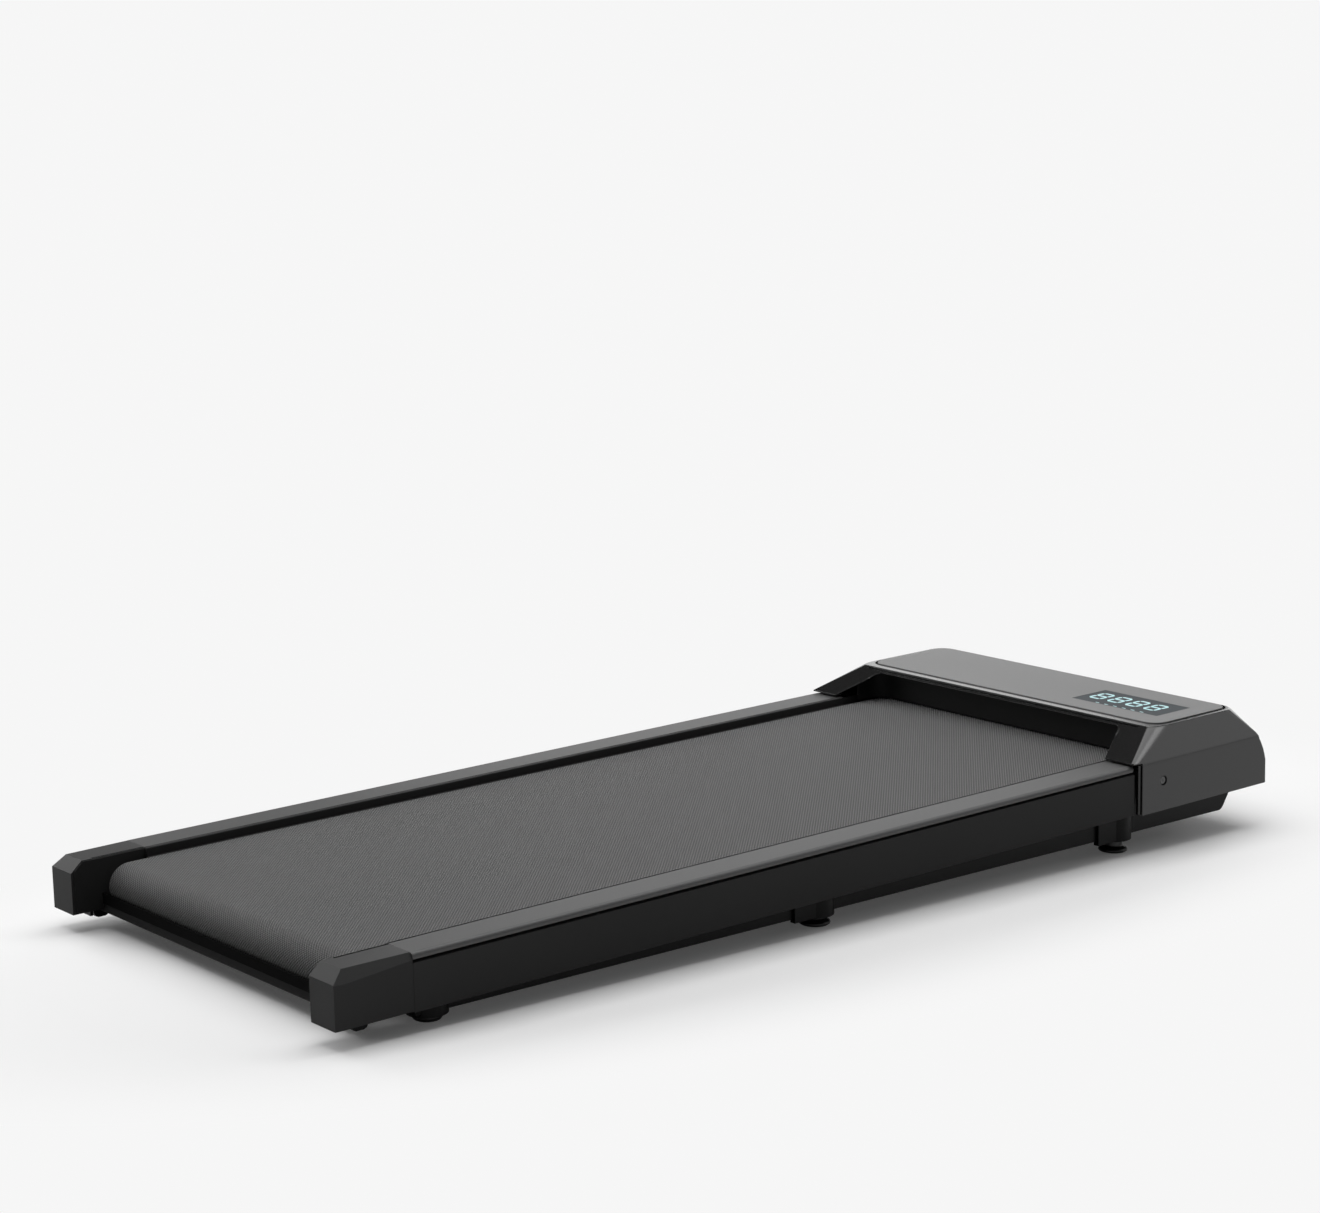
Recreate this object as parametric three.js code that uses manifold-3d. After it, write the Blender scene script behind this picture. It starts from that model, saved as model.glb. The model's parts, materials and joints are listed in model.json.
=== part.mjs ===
// An under-desk treadmill: a flat walking deck with a low motor hood at its front.
// Millimetres. +X is the walker's right, +Y the walking direction, +Z up, and the floor is z = 0.
// All but the feet is drawn in the deck's own frame, which starts at the rear face of the rear
// caps and leans up towards the front. The origin is the bottom centre of the whole machine.

import * as THREE from 'three';
import { mergeVertices } from 'three/addons/utils/BufferGeometryUtils.js';
import Module from 'manifold-3d';

const wasm = await Module();
wasm.setup();

// ------------------------------------------------------------------ driving dimensions

const clearance = 0.3; // between pieces that touch
const deckInclineDegrees = 1.52;

const frameWidth = 500; // over both foot rails
const railsLength = 1021; // rear cap face to the front end of the foot rails

const railWidth = 40.8;
const railTop = 72.1;
const railSkin = 2.5;
const railShoulderInset = 6;
const railShoulderDrop = 3;
const railEdgeHeight = 4.1;
const railRibInset = 2;
const railRibHeight = 7.3;
const railRound = 1.5;

const capWidth = 38.2;
const capLength = 82;
const capBottom = 19.2;
const capWall = 2.5;
const capChamferLength = 12.4;
const capChamferDrop = 10.9;
const capBevelInset = 6;
const capBevelDrop = 11;

const panelInset = 0.5;
const panelWall = 2.5;
const panelGroove = 2; // foot rail's lower edge to the top of the side panel
const panelHeight = 45.5;
const panelRound = 1.2;
const panelSeam = 1.7; // rear cap to the side panel
const panelEndGap = 3; // to the front end of the foot rails

const beamSetback = 18; // side beam's outer face, in from the rail's outer face
const beamWall = 3;
const beamRear = 20;
const beamFrontInset = 33.3; // side beam's front end behind the hood's front
const beamRearBottom = 8.3; // height of the lower edge, continued back to the rear cap face
const beamTaperDrop = 15.8; // how much lower the edge is at the front end of the foot rails
const beamNoseLength = 16.5;
const beamNoseRound = 5;

const angleRear = 34;
const angleGap = 1.9; // below the running belt
const angleHeight = 12.3;
const angleDepth = 32;
const angleWall = 2.5;

const deckCrossRearY = 200;
const deckCrossFrontGap = 36; // front deck cross to the front end of the foot rails
const deckCrossWidth = 40;
const deckCrossWall = 1.5;
const deckCrossGap = 2.1; // above the belt's lower run
const cushionWidth = 26;
const cushionThickness = 2.7;
const cushionRound = 1;
const boardThickness = 15;
const boardRear = 82;
const boardFrontGap = 34; // front roller axis to the board's front end
const boardSideGap = 2.6;
const boardRound = 5;

const beltDrop = 7.6; // belt surface below the rail top
const beltThickness = 2;
const beltSideGap = 9.2;
const rollerRadius = 20;
const rollerWall = 2.5;
const rollerOverhang = 1;
const rollerEase = 1.5;
const rollerShaftRadius = 7.5;
const rollerShaftEase = 1;
const bearingWidth = 11;
const bearingRecess = 1;
const bearingRace = 2.6;
const bearingGroove = 0.8;
const beltRear = 34;
const frontRollerInset = 134.3; // front roller axis behind the hood's front

const boltRadius = 3;
const boltHeadRadius = 5.8;
const boltHeadHeight = 3.7;
const boltPast = 8; // bolt length beyond the roller shaft's axis
const boltInset = 10; // bolt axis, in from the beam's outer face

const pulleyGap = 5; // running belt's edge to the pulleys
const pulleyWidth = 10;
const pulleyFlange = 0.5;
const pulleyHubWall = 8.5;
const drivenPulleyRadius = 30;
const motorPulleyRadius = 11;
const pulleyRibs = 4;
const pulleyRibHeight = 1.5;
const driveBeltThickness = 1.8;
const driveBeltInset = 0.6;

const motorOffsetY = 55; // from the front roller axis
const motorZ = 36;
const motorRadius = 27;
const motorLength = 140;
const motorPulleyGap = 13; // motor's shaft end to the pulleys
const motorEndStep = 3; // how far the end covers stand in from the can
const motorFanCover = 12;
const motorShaftCover = 12;
const motorNoseLength = 6;
const motorNoseRadius = 12;
const motorShaftRadius = 6;
const motorShaftProud = 1;
const motorShaftSeat = 10; // shaft's end inside the housing
const cradleWidth = 60;
const cradleSide = 4;

const panThickness = 2;
const panRearGap = 25; // foot rails' end to the pan
const panRearLip = 12;
const ventCount = 7;
const ventPitch = 9;
const ventWidth = 4;
const ventLength = 32;
const ventStartX = 60;

const footInset = 30; // foot centre, in from the rail's outer face
const footRearY = 115.8;
const footMiddleY = 581.2;
const footFrontGap = 3.6; // front foot to the front end of the foot rails
const bracketDropRear = 2.8; // below the beam's lower edge
const bracketDropMiddle = 3.9;
const bracketDropFront = 4.9;
const bracketRadius = 19.5;
const bracketGap = 2; // below the side panel
const footRadius = 14.2;
const footBaseInset = 3.4;
const footEase = 0.8;
const footSpigotRadius = 5;
const footSpigotHeight = 1.6;
const footSpigotSlack = 0.6;

const wheelRadius = 16;
const wheelWidth = 20;
const wheelInset = 100; // wheel's middle, in from the rail's outer face
const wheelTread = 2;
const wheelRim = 4;
const wheelDish = 2.5;
const wheelHubWall = 3;
const wheelAxleRadius = 4;
const wheelEar = 2.5;
const wheelEarRadius = 8;
const wheelEarRound = 6.4;
const wheelFrontInset = 21.3; // wheel axis behind the hood's front

const hoodOverhang = 4; // past the foot rails on each side
const hoodRearGap = 4.7; // end of the foot rails to the hood's side walls
const hoodLength = 206.6;
const hoodBottom = 16.8;
const hoodTop = 101.9;
const hoodCrease = 72.2;
const hoodTopInset = 28;
const hoodWall = 2.8;
const hoodFlange = 9;
const wingOverlap = 9; // how far the wings reach back over the rails
const wingLip = 4.5;
const wingCorner = 14;
const hoodTopRearInset = 58; // wing tip to the top plate's rear edge
const hoodTopFrontInset = 24.3; // hood front to the top plate's front edge
const noseCorner = 4;
const noseBreakInset = 12.3;
const noseBreakZ = 68.2;
const noseBreakRound = 4;
const noseKneeInset = 1;
const noseKneeZ = 45.5;
const noseKneeRound = 9;
const archTopInset = 30; // from the top plate's side edges
const archBottomInset = 33; // from the rails' outer faces
const archHead = 3.5; // arch top below the hood's top
const archCorner = 8;

const topPanelInset = 5; // from the top plate's side edges
const topPanelRearInset = 10;
const topPanelFrontInset = 4;
const topPanelThickness = 2.5;
const topPanelCorner = 17;
const hoodLedge = 2.5;

const windowSideInset = 26; // from the top panel's right edge
const windowRearInset = 29;
const windowWidth = 125;
const windowLength = 56;
const windowLedge = 5;
const displayBoardThickness = 2;
const displayBoardMargin = 8;
const displayBlockHeight = 5.3;

const innerWallOffset = 20.3; // its front face behind the front roller axis
const innerWallThickness = 2.5;
const innerWallGap = 1.7; // above and beside the running belt
const innerWallCorner = 22;
const innerWallLegs = 38;

const hoodScrewInset = 33.8; // from the hood's rear edge
const hoodScrewZ = 49.9;
const hoodBossRadius = 6.5;

const controllerInset = 38.7; // from the right side beam
const controllerWidth = 160;
const controllerLength = 62;
const controllerGap = 16; // behind the power inlet
const controllerZ = 22;
const controllerThickness = 1.6;
const standoffRadius = 3;
const standoffInset = 6;
const standoffSpacing = 32;
const capacitorRadius = 9;
const capacitorHeight = 28;
const capacitorInset = 14;
const coilRadius = 11;
const coilBore = 4;
const coilHeight = 12;
const coilInset = 22;
const relayInset = 42;
const relayWidth = 12;
const relayLength = 15;
const relayHeight = 14;
const partSpacing = 2; // between the parts on the controller board
const heatsinkInset = 10;
const heatsinkRearInset = 4;
const heatsinkWidth = 84;
const heatsinkLength = 54;
const heatsinkBase = 3;
const heatsinkHeight = 24;
const heatsinkFins = 9;
const heatsinkFin = 2;

const socketPanelDepth = 4.3;
const socketPanelWall = 3.2;
const socketPanelMargin = 4;
const socketBorder = 12; // pocket beside the inlet and the breaker
const socketBorderHeight = 1.5; // pocket above and below the inlet
const inletInset = 106; // inlet's middle, in from the hood's right side
const inletRise = 14.7; // above the hood's lower edge
const inletFlange = 2.5;
const inletFlangeHeight = 22;
const inletFlangeMargin = 4;
const inletBodyWidth = 27;
const inletBodyHeight = 19.4;
const inletBodyDepth = 20;
const inletWall = 2;
const inletCavityDepth = 15;
const inletCavityCorner = 4;
const inletPinLength = 8;
const inletPinWidth = 2;
const inletPinHeight = 4;
const inletPinSpread = 7;
const inletPinStagger = 2;
const rockerSpacing = 36; // inlet to rocker switch
const rockerWidth = 15;
const rockerRadius = 6;
const rockerDip = 2.5;
const rockerOpeningDegrees = 60; // half of the angle that the rocker's face takes out of its round back
const rockerTiltDegrees = 12;
const rockerRecess = 4.2; // rocker axis behind the inlet's front face
const switchBodyMargin = 3;
const breakerSpacing = 34; // rocker switch to breaker button
const breakerRadius = 5;
const breakerLength = 14;
const breakerProud = 1.5;
const breakerEase = 0.8;

// ------------------------------------------------------------------ places worked out from them

const overcut = 10 * clearance; // how far a cutter runs past what it cuts
const sink = clearance; // how deep joined shapes reach into each other

const railOuter = frameWidth / 2;
const railInner = railOuter - railWidth;
const railShoulderZ = railTop - railShoulderDrop;
const railEdgeBottom = railShoulderZ - railEdgeHeight;
const railUnder = railTop - railSkin;
const capInner = railOuter - capWidth;
const beamTop = railUnder - railRibHeight - clearance;
const beamOuter = railOuter - beamSetback;
const beamInner = capInner + capWall + clearance;
const webInner = beamOuter - beamWall;
const spanEnd = webInner - clearance; // end of a cross piece that meets the beam's web
const ribOuter = beamOuter - railRibInset;
const ribInner = beamInner + railRibInset;
const panelOuter = railOuter - panelInset;
const panelTop = railEdgeBottom - panelGroove;
const panelBottom = panelTop - panelHeight;
const panelStart = capLength + clearance + panelSeam;

const beltTop = railTop - beltDrop;
const beltInnerRadius = rollerRadius + clearance;
const beltOuterRadius = beltInnerRadius + beltThickness;
const beltHalf = railInner - beltSideGap;
const rollerZ = beltTop - beltOuterRadius;
const rearRollerY = beltRear + beltOuterRadius;
const boardTop = beltTop - beltThickness - clearance;
const boardBottom = boardTop - boardThickness;
const boardHalf = beamInner - boardSideGap;
const cushionTop = boardBottom - clearance;
const deckCrossTop = cushionTop - cushionThickness - clearance;
const deckCrossBottom = rollerZ - beltInnerRadius + deckCrossGap;
const deckCrossFrontY = railsLength - deckCrossFrontGap;
const deckCrossYs = {
  rear: deckCrossRearY,
  middle: (deckCrossRearY + deckCrossFrontY) / 2,
  front: deckCrossFrontY,
};
const angleBottom = rollerZ - beltOuterRadius - angleGap - angleWall;

const hoodHalf = railOuter + hoodOverhang;
const hoodRear = railsLength + hoodRearGap;
const hoodFront = hoodRear + hoodLength;
const frontRollerY = hoodFront - frontRollerInset;
const boardFront = frontRollerY - boardFrontGap;
const wingRear = railsLength - wingOverlap;
const wingBottom = railTop + clearance;
const wingTop = wingBottom + wingLip;
const hoodTopHalf = hoodHalf - hoodTopInset;
const hoodTopRear = wingRear + hoodTopRearInset;
const hoodTopFront = hoodFront - hoodTopFrontInset;
const panelSeat = hoodTop - topPanelThickness - clearance;
const hoodCeiling = panelSeat - hoodLedge;
const archTopHalf = hoodTopHalf - archTopInset;
const archBottomHalf = railOuter - archBottomInset;
const topPanelHalf = hoodTopHalf - topPanelInset;
const topPanelRear = hoodTopRear + topPanelRearInset;
const topPanelFront = hoodTopFront - topPanelFrontInset;
const windowMaxX = topPanelHalf - windowSideInset;
const windowMinX = windowMaxX - windowWidth;
const windowRear = topPanelRear + windowRearInset;
const windowFront = windowRear + windowLength;
const hoodScrewY = hoodRear + hoodScrewInset;

const beamFront = hoodFront - beamFrontInset;
const panRear = railsLength + panRearGap;
const panShelf = hoodBottom - clearance - panThickness;
const beamNoseTop = panShelf - clearance;
const beamNoseStart = beamFront - beamNoseLength;

const motorY = frontRollerY + motorOffsetY;
const pulleyInnerX = beltHalf + pulleyGap;
const pulleyOuterX = pulleyInnerX + pulleyWidth;
const motorOuterX = pulleyInnerX - motorPulleyGap;
const motorInnerX = motorOuterX - motorLength;

const inletX = hoodHalf - inletInset;
const rockerX = inletX - rockerSpacing;
const breakerX = rockerX - breakerSpacing;
const inletZ = hoodBottom + inletRise;
const inletMaxX = inletX + inletBodyWidth / 2 + inletFlangeMargin;
const socketPanelMinX = breakerX - breakerRadius - socketBorder;
const socketPanelMaxX = inletMaxX + socketBorder;
const socketPanelBottom = inletZ - inletFlangeHeight / 2 - socketBorderHeight;
const socketPanelTop = inletZ + inletFlangeHeight / 2 + socketBorderHeight;
const socketFaceY = hoodFront - socketPanelDepth;
const inletSeatY = socketFaceY + clearance;
const inletFrontY = inletSeatY + inletFlange;
const inletBackY = inletSeatY - inletBodyDepth;
const rockerY = inletFrontY - rockerRecess;
const rockerRoom = rockerRadius + clearance;
const switchHalfWidth = rockerWidth / 2 + switchBodyMargin;
const switchHalfHeight = rockerRoom + switchBodyMargin;

const controllerMaxX = spanEnd - controllerInset;
const controllerMinX = controllerMaxX - controllerWidth;
const controllerFront = inletBackY - controllerGap;
const controllerRear = controllerFront - controllerLength;
const controllerTop = controllerZ + controllerThickness;

const footX = railOuter - footInset;
const bracketTop = panelBottom - bracketGap;
const stations = {
  rear: { y: footRearY, drop: bracketDropRear },
  middle: { y: footMiddleY, drop: bracketDropMiddle },
  front: { y: railsLength - footFrontGap, drop: bracketDropFront },
};
const wheelX = railOuter - wheelInset;
const wheelY = hoodFront - wheelFrontInset;
const wheelZ = panShelf - clearance - wheelEar - clearance - wheelRadius;

const incline = THREE.MathUtils.degToRad(deckInclineDegrees);
const beamBottomAt = (y) => beamRearBottom - (beamTaperDrop * y) / railsLength;
const panBottomAt = (y) => beamBottomAt(y) + beamWall + clearance;
const panTopAt = (y) => panBottomAt(y) + panThickness;
const wingRise = (hoodTop - wingTop) / hoodTopRearInset;
const wingTopAt = (y) => wingTop + (y - wingRear) * wingRise;
const wingWall = hoodWall * Math.hypot(1, wingRise);

// ------------------------------------------------------------------ materials

const finish = (color, roughness, metalness = 0) =>
  new THREE.MeshStandardMaterial({ color, roughness, metalness });

const paintedSteel = finish(0x1d1d1f, 0.55, 0.3);
const satinRail = finish(0x58585a, 0.45);
const blackPlastic = finish(0x1b1b1c, 0.6);
const hoodPlastic = finish(0x3c3c3e, 0.4);
const topPanelPlastic = finish(0x6c6c6e, 0.35);
const beltRubber = finish(0x4a4a4b, 0.8);
const footRubber = finish(0x151515, 0.85);
const board = finish(0x6a5a48, 0.7);
const brightSteel = finish(0xb4b6b8, 0.3, 1);
const aluminium = finish(0xa8abad, 0.4, 1);
const displayGlass = finish(0x3c4347, 0.2);
const circuitGreen = finish(0x1f5a3a, 0.5);

// ------------------------------------------------------------------ geometry helpers

const axisX = new THREE.Vector3(1, 0, 0);
const axisY = new THREE.Vector3(0, 1, 0);
const axisZ = new THREE.Vector3(0, 0, 1);
const outlineAlongX = new THREE.Matrix4().makeBasis(axisY, axisZ, axisX);
const outlineAlongY = new THREE.Matrix4().makeBasis(axisX, axisZ, axisY.clone().negate());
const turnedAboutX = new THREE.Matrix4().makeBasis(axisY, axisX, axisZ.clone().negate());
const turnedAboutZ = new THREE.Matrix4().makeBasis(axisX, axisZ, axisY.clone().negate());

// A closed outline through [u, v] points; a third number rounds that corner off.
function outline(points) {
  const shape = new THREE.Shape();
  points.forEach(([u, v, round = 0], i) => {
    const corner = new THREE.Vector2(u, v);
    const [beforeU, beforeV] = points.at(i - 1);
    const [afterU, afterV] = points[(i + 1) % points.length];
    const arrive = new THREE.Vector2(beforeU - u, beforeV - v).setLength(round).add(corner);
    const leave = new THREE.Vector2(afterU - u, afterV - v).setLength(round).add(corner);
    if (i === 0) shape.moveTo(arrive.x, arrive.y);
    else shape.lineTo(arrive.x, arrive.y);
    if (round > 0) shape.quadraticCurveTo(u, v, leave.x, leave.y);
  });
  shape.closePath();
  return shape;
}

function extrude(shape, depth, curveSegments) {
  return new THREE.ExtrudeGeometry(shape, { depth, bevelEnabled: false, curveSegments });
}

// Outlines in (y, z), (x, z) and (x, y), drawn out between two places along the third axis.
function alongX(shape, from, to, curveSegments = 4) {
  return extrude(shape, to - from, curveSegments).applyMatrix4(outlineAlongX).translate(from, 0, 0);
}

function alongY(shape, from, to, curveSegments = 4) {
  return extrude(shape, to - from, curveSegments).applyMatrix4(outlineAlongY).translate(0, to, 0);
}

function alongZ(shape, from, to, curveSegments = 4) {
  return extrude(shape, to - from, curveSegments).translate(0, 0, from);
}

function block(minX, maxX, minY, maxY, minZ, maxZ) {
  const box = new THREE.BoxGeometry(maxX - minX, maxY - minY, maxZ - minZ);
  return box.translate((minX + maxX) / 2, (minY + maxY) / 2, (minZ + maxZ) / 2);
}

// Turned pieces, from [radius, place along the axis] points.
function turned(points, matrix, segments) {
  const profile = points.map(([radius, along]) => new THREE.Vector2(radius, along));
  return new THREE.LatheGeometry(profile, segments).applyMatrix4(matrix);
}

function turnedX(points, y, z, segments = 24) {
  return turned(points, turnedAboutX, segments).translate(0, y, z);
}

function turnedY(points, x, z, segments = 24) {
  return turned(points, new THREE.Matrix4(), segments).translate(x, 0, z);
}

function turnedZ(points, x, y, segments = 24) {
  return turned(points, turnedAboutZ, segments).translate(x, y, 0);
}

function rod(radius, from, to) {
  return [[0, from], [radius, from], [radius, to], [0, to]];
}

function ring(inner, outer, from, to) {
  return [[inner, from], [outer, from], [outer, to], [inner, to], [inner, from]];
}

// Position only, shared vertices, and faces that point out.
function closed(geometry) {
  const bare = geometry.clone();
  bare.deleteAttribute('normal');
  bare.deleteAttribute('uv');
  const merged = mergeVertices(bare, 1e-4);
  const at = merged.getAttribute('position');
  const index = merged.index.array;
  const corners = [new THREE.Vector3(), new THREE.Vector3(), new THREE.Vector3()];
  let volume = 0;
  for (let i = 0; i < index.length; i += 3) {
    corners.forEach((corner, k) => corner.fromBufferAttribute(at, index[i + k]));
    volume += corners[0].dot(corners[1].cross(corners[2]));
  }
  if (volume < 0) turnFaces(index);
  return merged;
}

function turnFaces(index) {
  for (let i = 0; i < index.length; i += 3) [index[i + 1], index[i + 2]] = [index[i + 2], index[i + 1]];
}

function toManifold(geometry) {
  const { attributes, index } = closed(geometry);
  const vertProperties = Float32Array.from(attributes.position.array);
  const triVerts = Uint32Array.from(index.array);
  return new wasm.Manifold(new wasm.Mesh({ numProp: 3, vertProperties, triVerts }));
}

function toGeometry(manifold) {
  const { vertProperties, triVerts } = manifold.getMesh();
  const geometry = new THREE.BufferGeometry();
  geometry.setAttribute('position', new THREE.BufferAttribute(vertProperties, 3));
  geometry.setIndex(new THREE.BufferAttribute(triVerts, 1));
  return geometry;
}

function cut(base, ...tools) {
  return toGeometry(tools.reduce((solid, tool) => solid.subtract(toManifold(tool)), toManifold(base)));
}

function join(base, ...others) {
  return toGeometry(others.reduce((solid, other) => solid.add(toManifold(other)), toManifold(base)));
}

function common(base, ...others) {
  return toGeometry(others.reduce((solid, other) => solid.intersect(toManifold(other)), toManifold(base)));
}

function mirrored(geometry) {
  return closed(closed(geometry).applyMatrix4(new THREE.Matrix4().makeScale(-1, 1, 1)));
}

// ------------------------------------------------------------------ the assembly

const deck = new THREE.Group();
deck.rotation.x = incline;
deck.updateMatrixWorld();

const ground = new THREE.Group();

function place(group, name, geometry, material) {
  const mesh = new THREE.Mesh(closed(geometry), material);
  mesh.name = name;
  group.add(mesh);
}

// A piece of the right-hand side, and its mirror image on the left.
function placePair(name, geometry, material) {
  place(deck, `${name}_right`, geometry, material);
  place(deck, `${name}_left`, mirrored(geometry), material);
}

// ------------------------------------------------------------------ frame

// The beam's lower edge runs straight forward, then turns up under the hood.
function beamNosePoint(height) {
  const startZ = beamBottomAt(beamNoseStart);
  return beamNoseStart + ((height - startZ) * beamNoseLength) / (beamNoseTop - startZ);
}

function noseOffset(distance) {
  const rise = beamNoseTop - beamBottomAt(beamNoseStart);
  return (distance * Math.hypot(rise, beamNoseLength)) / rise;
}

function sideBeam() {
  const solid = alongX(
    outline([
      [beamRear, beamTop],
      [beamRear, beamBottomAt(beamRear)],
      [beamNoseStart, beamBottomAt(beamNoseStart), beamNoseRound],
      [beamFront, beamNoseTop],
      [beamFront, beamTop],
    ]),
    beamInner,
    beamOuter,
  );
  const hollowRear = beamRear + beamWall;
  const lipTop = beamNoseTop - beamWall;
  const noseInner = (height) => beamNosePoint(height) - noseOffset(beamWall);
  const bendY = noseInner(beamBottomAt(beamNoseStart) + beamWall);
  const hollow = alongX(
    outline([
      [hollowRear, beamBottomAt(hollowRear) + beamWall],
      [bendY, beamBottomAt(bendY) + beamWall],
      [noseInner(lipTop), lipTop],
      [beamFront + overcut, lipTop],
      [beamFront + overcut, beamTop + overcut],
      [railsLength - beamWall, beamTop + overcut],
      [railsLength - beamWall, beamTop - beamWall],
      [hollowRear, beamTop - beamWall],
    ]),
    beamInner - overcut,
    webInner,
  );
  const boltHole = turnedY(
    rod(boltRadius + clearance, beamRear - overcut, hollowRear + overcut), beamOuter - boltInset, rollerZ,
  );
  return cut(solid, hollow, boltHole);
}

function rearAngle() {
  const shape = outline([
    [angleRear, angleBottom],
    [angleRear + angleDepth, angleBottom],
    [angleRear + angleDepth, angleBottom + angleWall],
    [angleRear + angleWall, angleBottom + angleWall],
    [angleRear + angleWall, angleBottom + angleHeight],
    [angleRear, angleBottom + angleHeight],
  ]);
  return alongX(shape, -spanEnd, spanEnd);
}

function deckCross(y) {
  const rear = y - deckCrossWidth / 2;
  const front = y + deckCrossWidth / 2;
  const tube = block(-spanEnd, spanEnd, rear, front, deckCrossBottom, deckCrossTop);
  const bore = block(
    -spanEnd - overcut, spanEnd + overcut,
    rear + deckCrossWall, front - deckCrossWall,
    deckCrossBottom + deckCrossWall, deckCrossTop - deckCrossWall,
  );
  return cut(tube, bore);
}

// Pan bottom, its sloping front and the shelf under the hood's nose, as one bent sheet.
function panLine(offset) {
  const slopeShift = noseOffset(beamWall + clearance + offset);
  const level = panBottomAt(beamNoseStart - slopeShift) + offset;
  return [
    [panRear, panBottomAt(panRear) + offset],
    [beamNosePoint(level) - slopeShift, level],
    [beamNosePoint(panShelf + offset) - slopeShift, panShelf + offset],
    [hoodFront - hoodWall - clearance, panShelf + offset],
  ];
}

function motorPan() {
  const sheet = alongX(outline([...panLine(0), ...panLine(panThickness).reverse()]), -spanEnd, spanEnd);
  const lip = block(-spanEnd, spanEnd, panRear, panRear + panThickness, panBottomAt(panRear), panRearLip);
  const ventRear = motorY - ventLength / 2;
  const ventFront = motorY + ventLength / 2;
  const ventBottom = panBottomAt(ventFront) - overcut;
  const ventTop = panTopAt(ventRear) + overcut;
  const vents = [];
  for (let i = 0; i < ventCount; i += 1) {
    const x = ventStartX + i * ventPitch;
    const vent = block(x, x + ventWidth, ventRear, ventFront, ventBottom, ventTop);
    vents.push(vent, mirrored(vent));
  }
  return cut(join(sheet, lip), ...vents);
}

// ------------------------------------------------------------------ trim beside the belt

function footRail() {
  const lipBottom = boardTop + clearance;
  const ribFoot = beamTop + clearance;
  const shoulderX = railOuter - railShoulderInset;
  const profile = outline([
    [railInner, lipBottom],
    [railInner, railTop, railRound],
    [shoulderX, railTop, railRound],
    [railOuter, railShoulderZ, railRound],
    [railOuter, railEdgeBottom],
    [railOuter - railSkin, railEdgeBottom],
    [railOuter - railSkin, railShoulderZ - railSkin],
    [shoulderX, railUnder],
    [ribOuter, railUnder],
    [ribOuter, ribFoot],
    [ribOuter - railSkin, ribFoot],
    [ribOuter - railSkin, railUnder],
    [ribInner + railSkin, railUnder],
    [ribInner + railSkin, ribFoot],
    [ribInner, ribFoot],
    [ribInner, railUnder],
    [railInner + railSkin, railUnder],
    [railInner + railSkin, lipBottom],
  ]);
  return alongY(profile, capLength + clearance, railsLength, 2);
}

function sidePanel() {
  const lipInner = beamOuter + clearance;
  const profile = outline([
    [lipInner, panelBottom],
    [panelOuter, panelBottom, panelRound],
    [panelOuter, panelTop, panelRound],
    [lipInner, panelTop],
    [lipInner, panelTop - panelWall],
    [panelOuter - panelWall, panelTop - panelWall],
    [panelOuter - panelWall, panelBottom + panelWall],
    [lipInner, panelBottom + panelWall],
  ]);
  return alongY(profile, panelStart, railsLength - panelEndGap, 2);
}

// How far a wall's inner chamfer moves along the face that it starts from.
function chamferShift(run, drop, wall) {
  return (wall * (Math.hypot(run, drop) - drop)) / run;
}

// The cap's block, or with a wall its hollow: side and end outlines drawn across each other.
function capBlock(wall) {
  const top = railTop - wall;
  const floor = wall > 0 ? capBottom - overcut : capBottom;
  const front = wall > 0 ? capLength + overcut : capLength;
  const fromSide = outline([
    [wall, floor],
    [front, floor],
    [front, top],
    [capChamferLength + chamferShift(capChamferDrop, capChamferLength, wall), top],
    [wall, railTop - capChamferDrop - chamferShift(capChamferLength, capChamferDrop, wall)],
  ]);
  const fromEnd = outline([
    [capInner + wall, floor],
    [railOuter - wall, floor],
    [railOuter - wall, railTop - capBevelDrop - chamferShift(capBevelInset, capBevelDrop, wall)],
    [railOuter - capBevelInset - chamferShift(capBevelDrop, capBevelInset, wall), top],
    [capInner + wall, top],
  ]);
  return common(alongX(fromSide, capInner + wall, railOuter - wall), alongY(fromEnd, wall, front));
}

// The cap's inner wall is open below for the rear angle and the roller shaft.
function rearCap() {
  const opening = block(
    capInner - overcut, capInner + capWall + clearance, angleRear - clearance, capLength + overcut,
    capBottom - overcut, rollerZ + rollerShaftRadius + clearance,
  );
  const ribs = [ribInner, ribOuter - railSkin].map((x) =>
    block(x, x + railSkin, beamRear + beamWall, capLength, beamTop + clearance, railTop - capWall + sink),
  );
  return join(cut(capBlock(0), capBlock(capWall), opening), ...ribs);
}

// ------------------------------------------------------------------ deck and running belt

// The outline round two circles, as a belt lies on them.
function beltOutline(rear, front) {
  const run = Math.atan2(front.z - rear.z, front.y - rear.y);
  const spread = Math.acos((rear.radius - front.radius) / Math.hypot(front.y - rear.y, front.z - rear.z));
  const shape = new THREE.Shape();
  shape.absarc(front.y, front.z, front.radius, run - spread, run + spread, false);
  shape.absarc(rear.y, rear.z, rear.radius, run + spread, run - spread + 2 * Math.PI, false);
  shape.closePath();
  return shape;
}

function beltLoop(rear, front, thickness, minX, maxX, curveSegments) {
  const grown = ({ y, z, radius }) => ({ y, z, radius: radius + thickness });
  const shape = beltOutline(grown(rear), grown(front));
  shape.holes.push(beltOutline(rear, front));
  return alongX(shape, minX, maxX, curveSegments);
}

function runningBelt() {
  const rear = { y: rearRollerY, z: rollerZ, radius: beltInnerRadius };
  const front = { y: frontRollerY, z: rollerZ, radius: beltInnerRadius };
  return beltLoop(rear, front, beltThickness, -beltHalf, beltHalf, 12);
}

function deckBoard() {
  const shape = outline([
    [boardRear, boardBottom],
    [boardFront, boardBottom],
    [boardFront, boardTop, boardRound],
    [boardRear, boardTop, boardRound],
  ]);
  return alongX(shape, -boardHalf, boardHalf);
}

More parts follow.
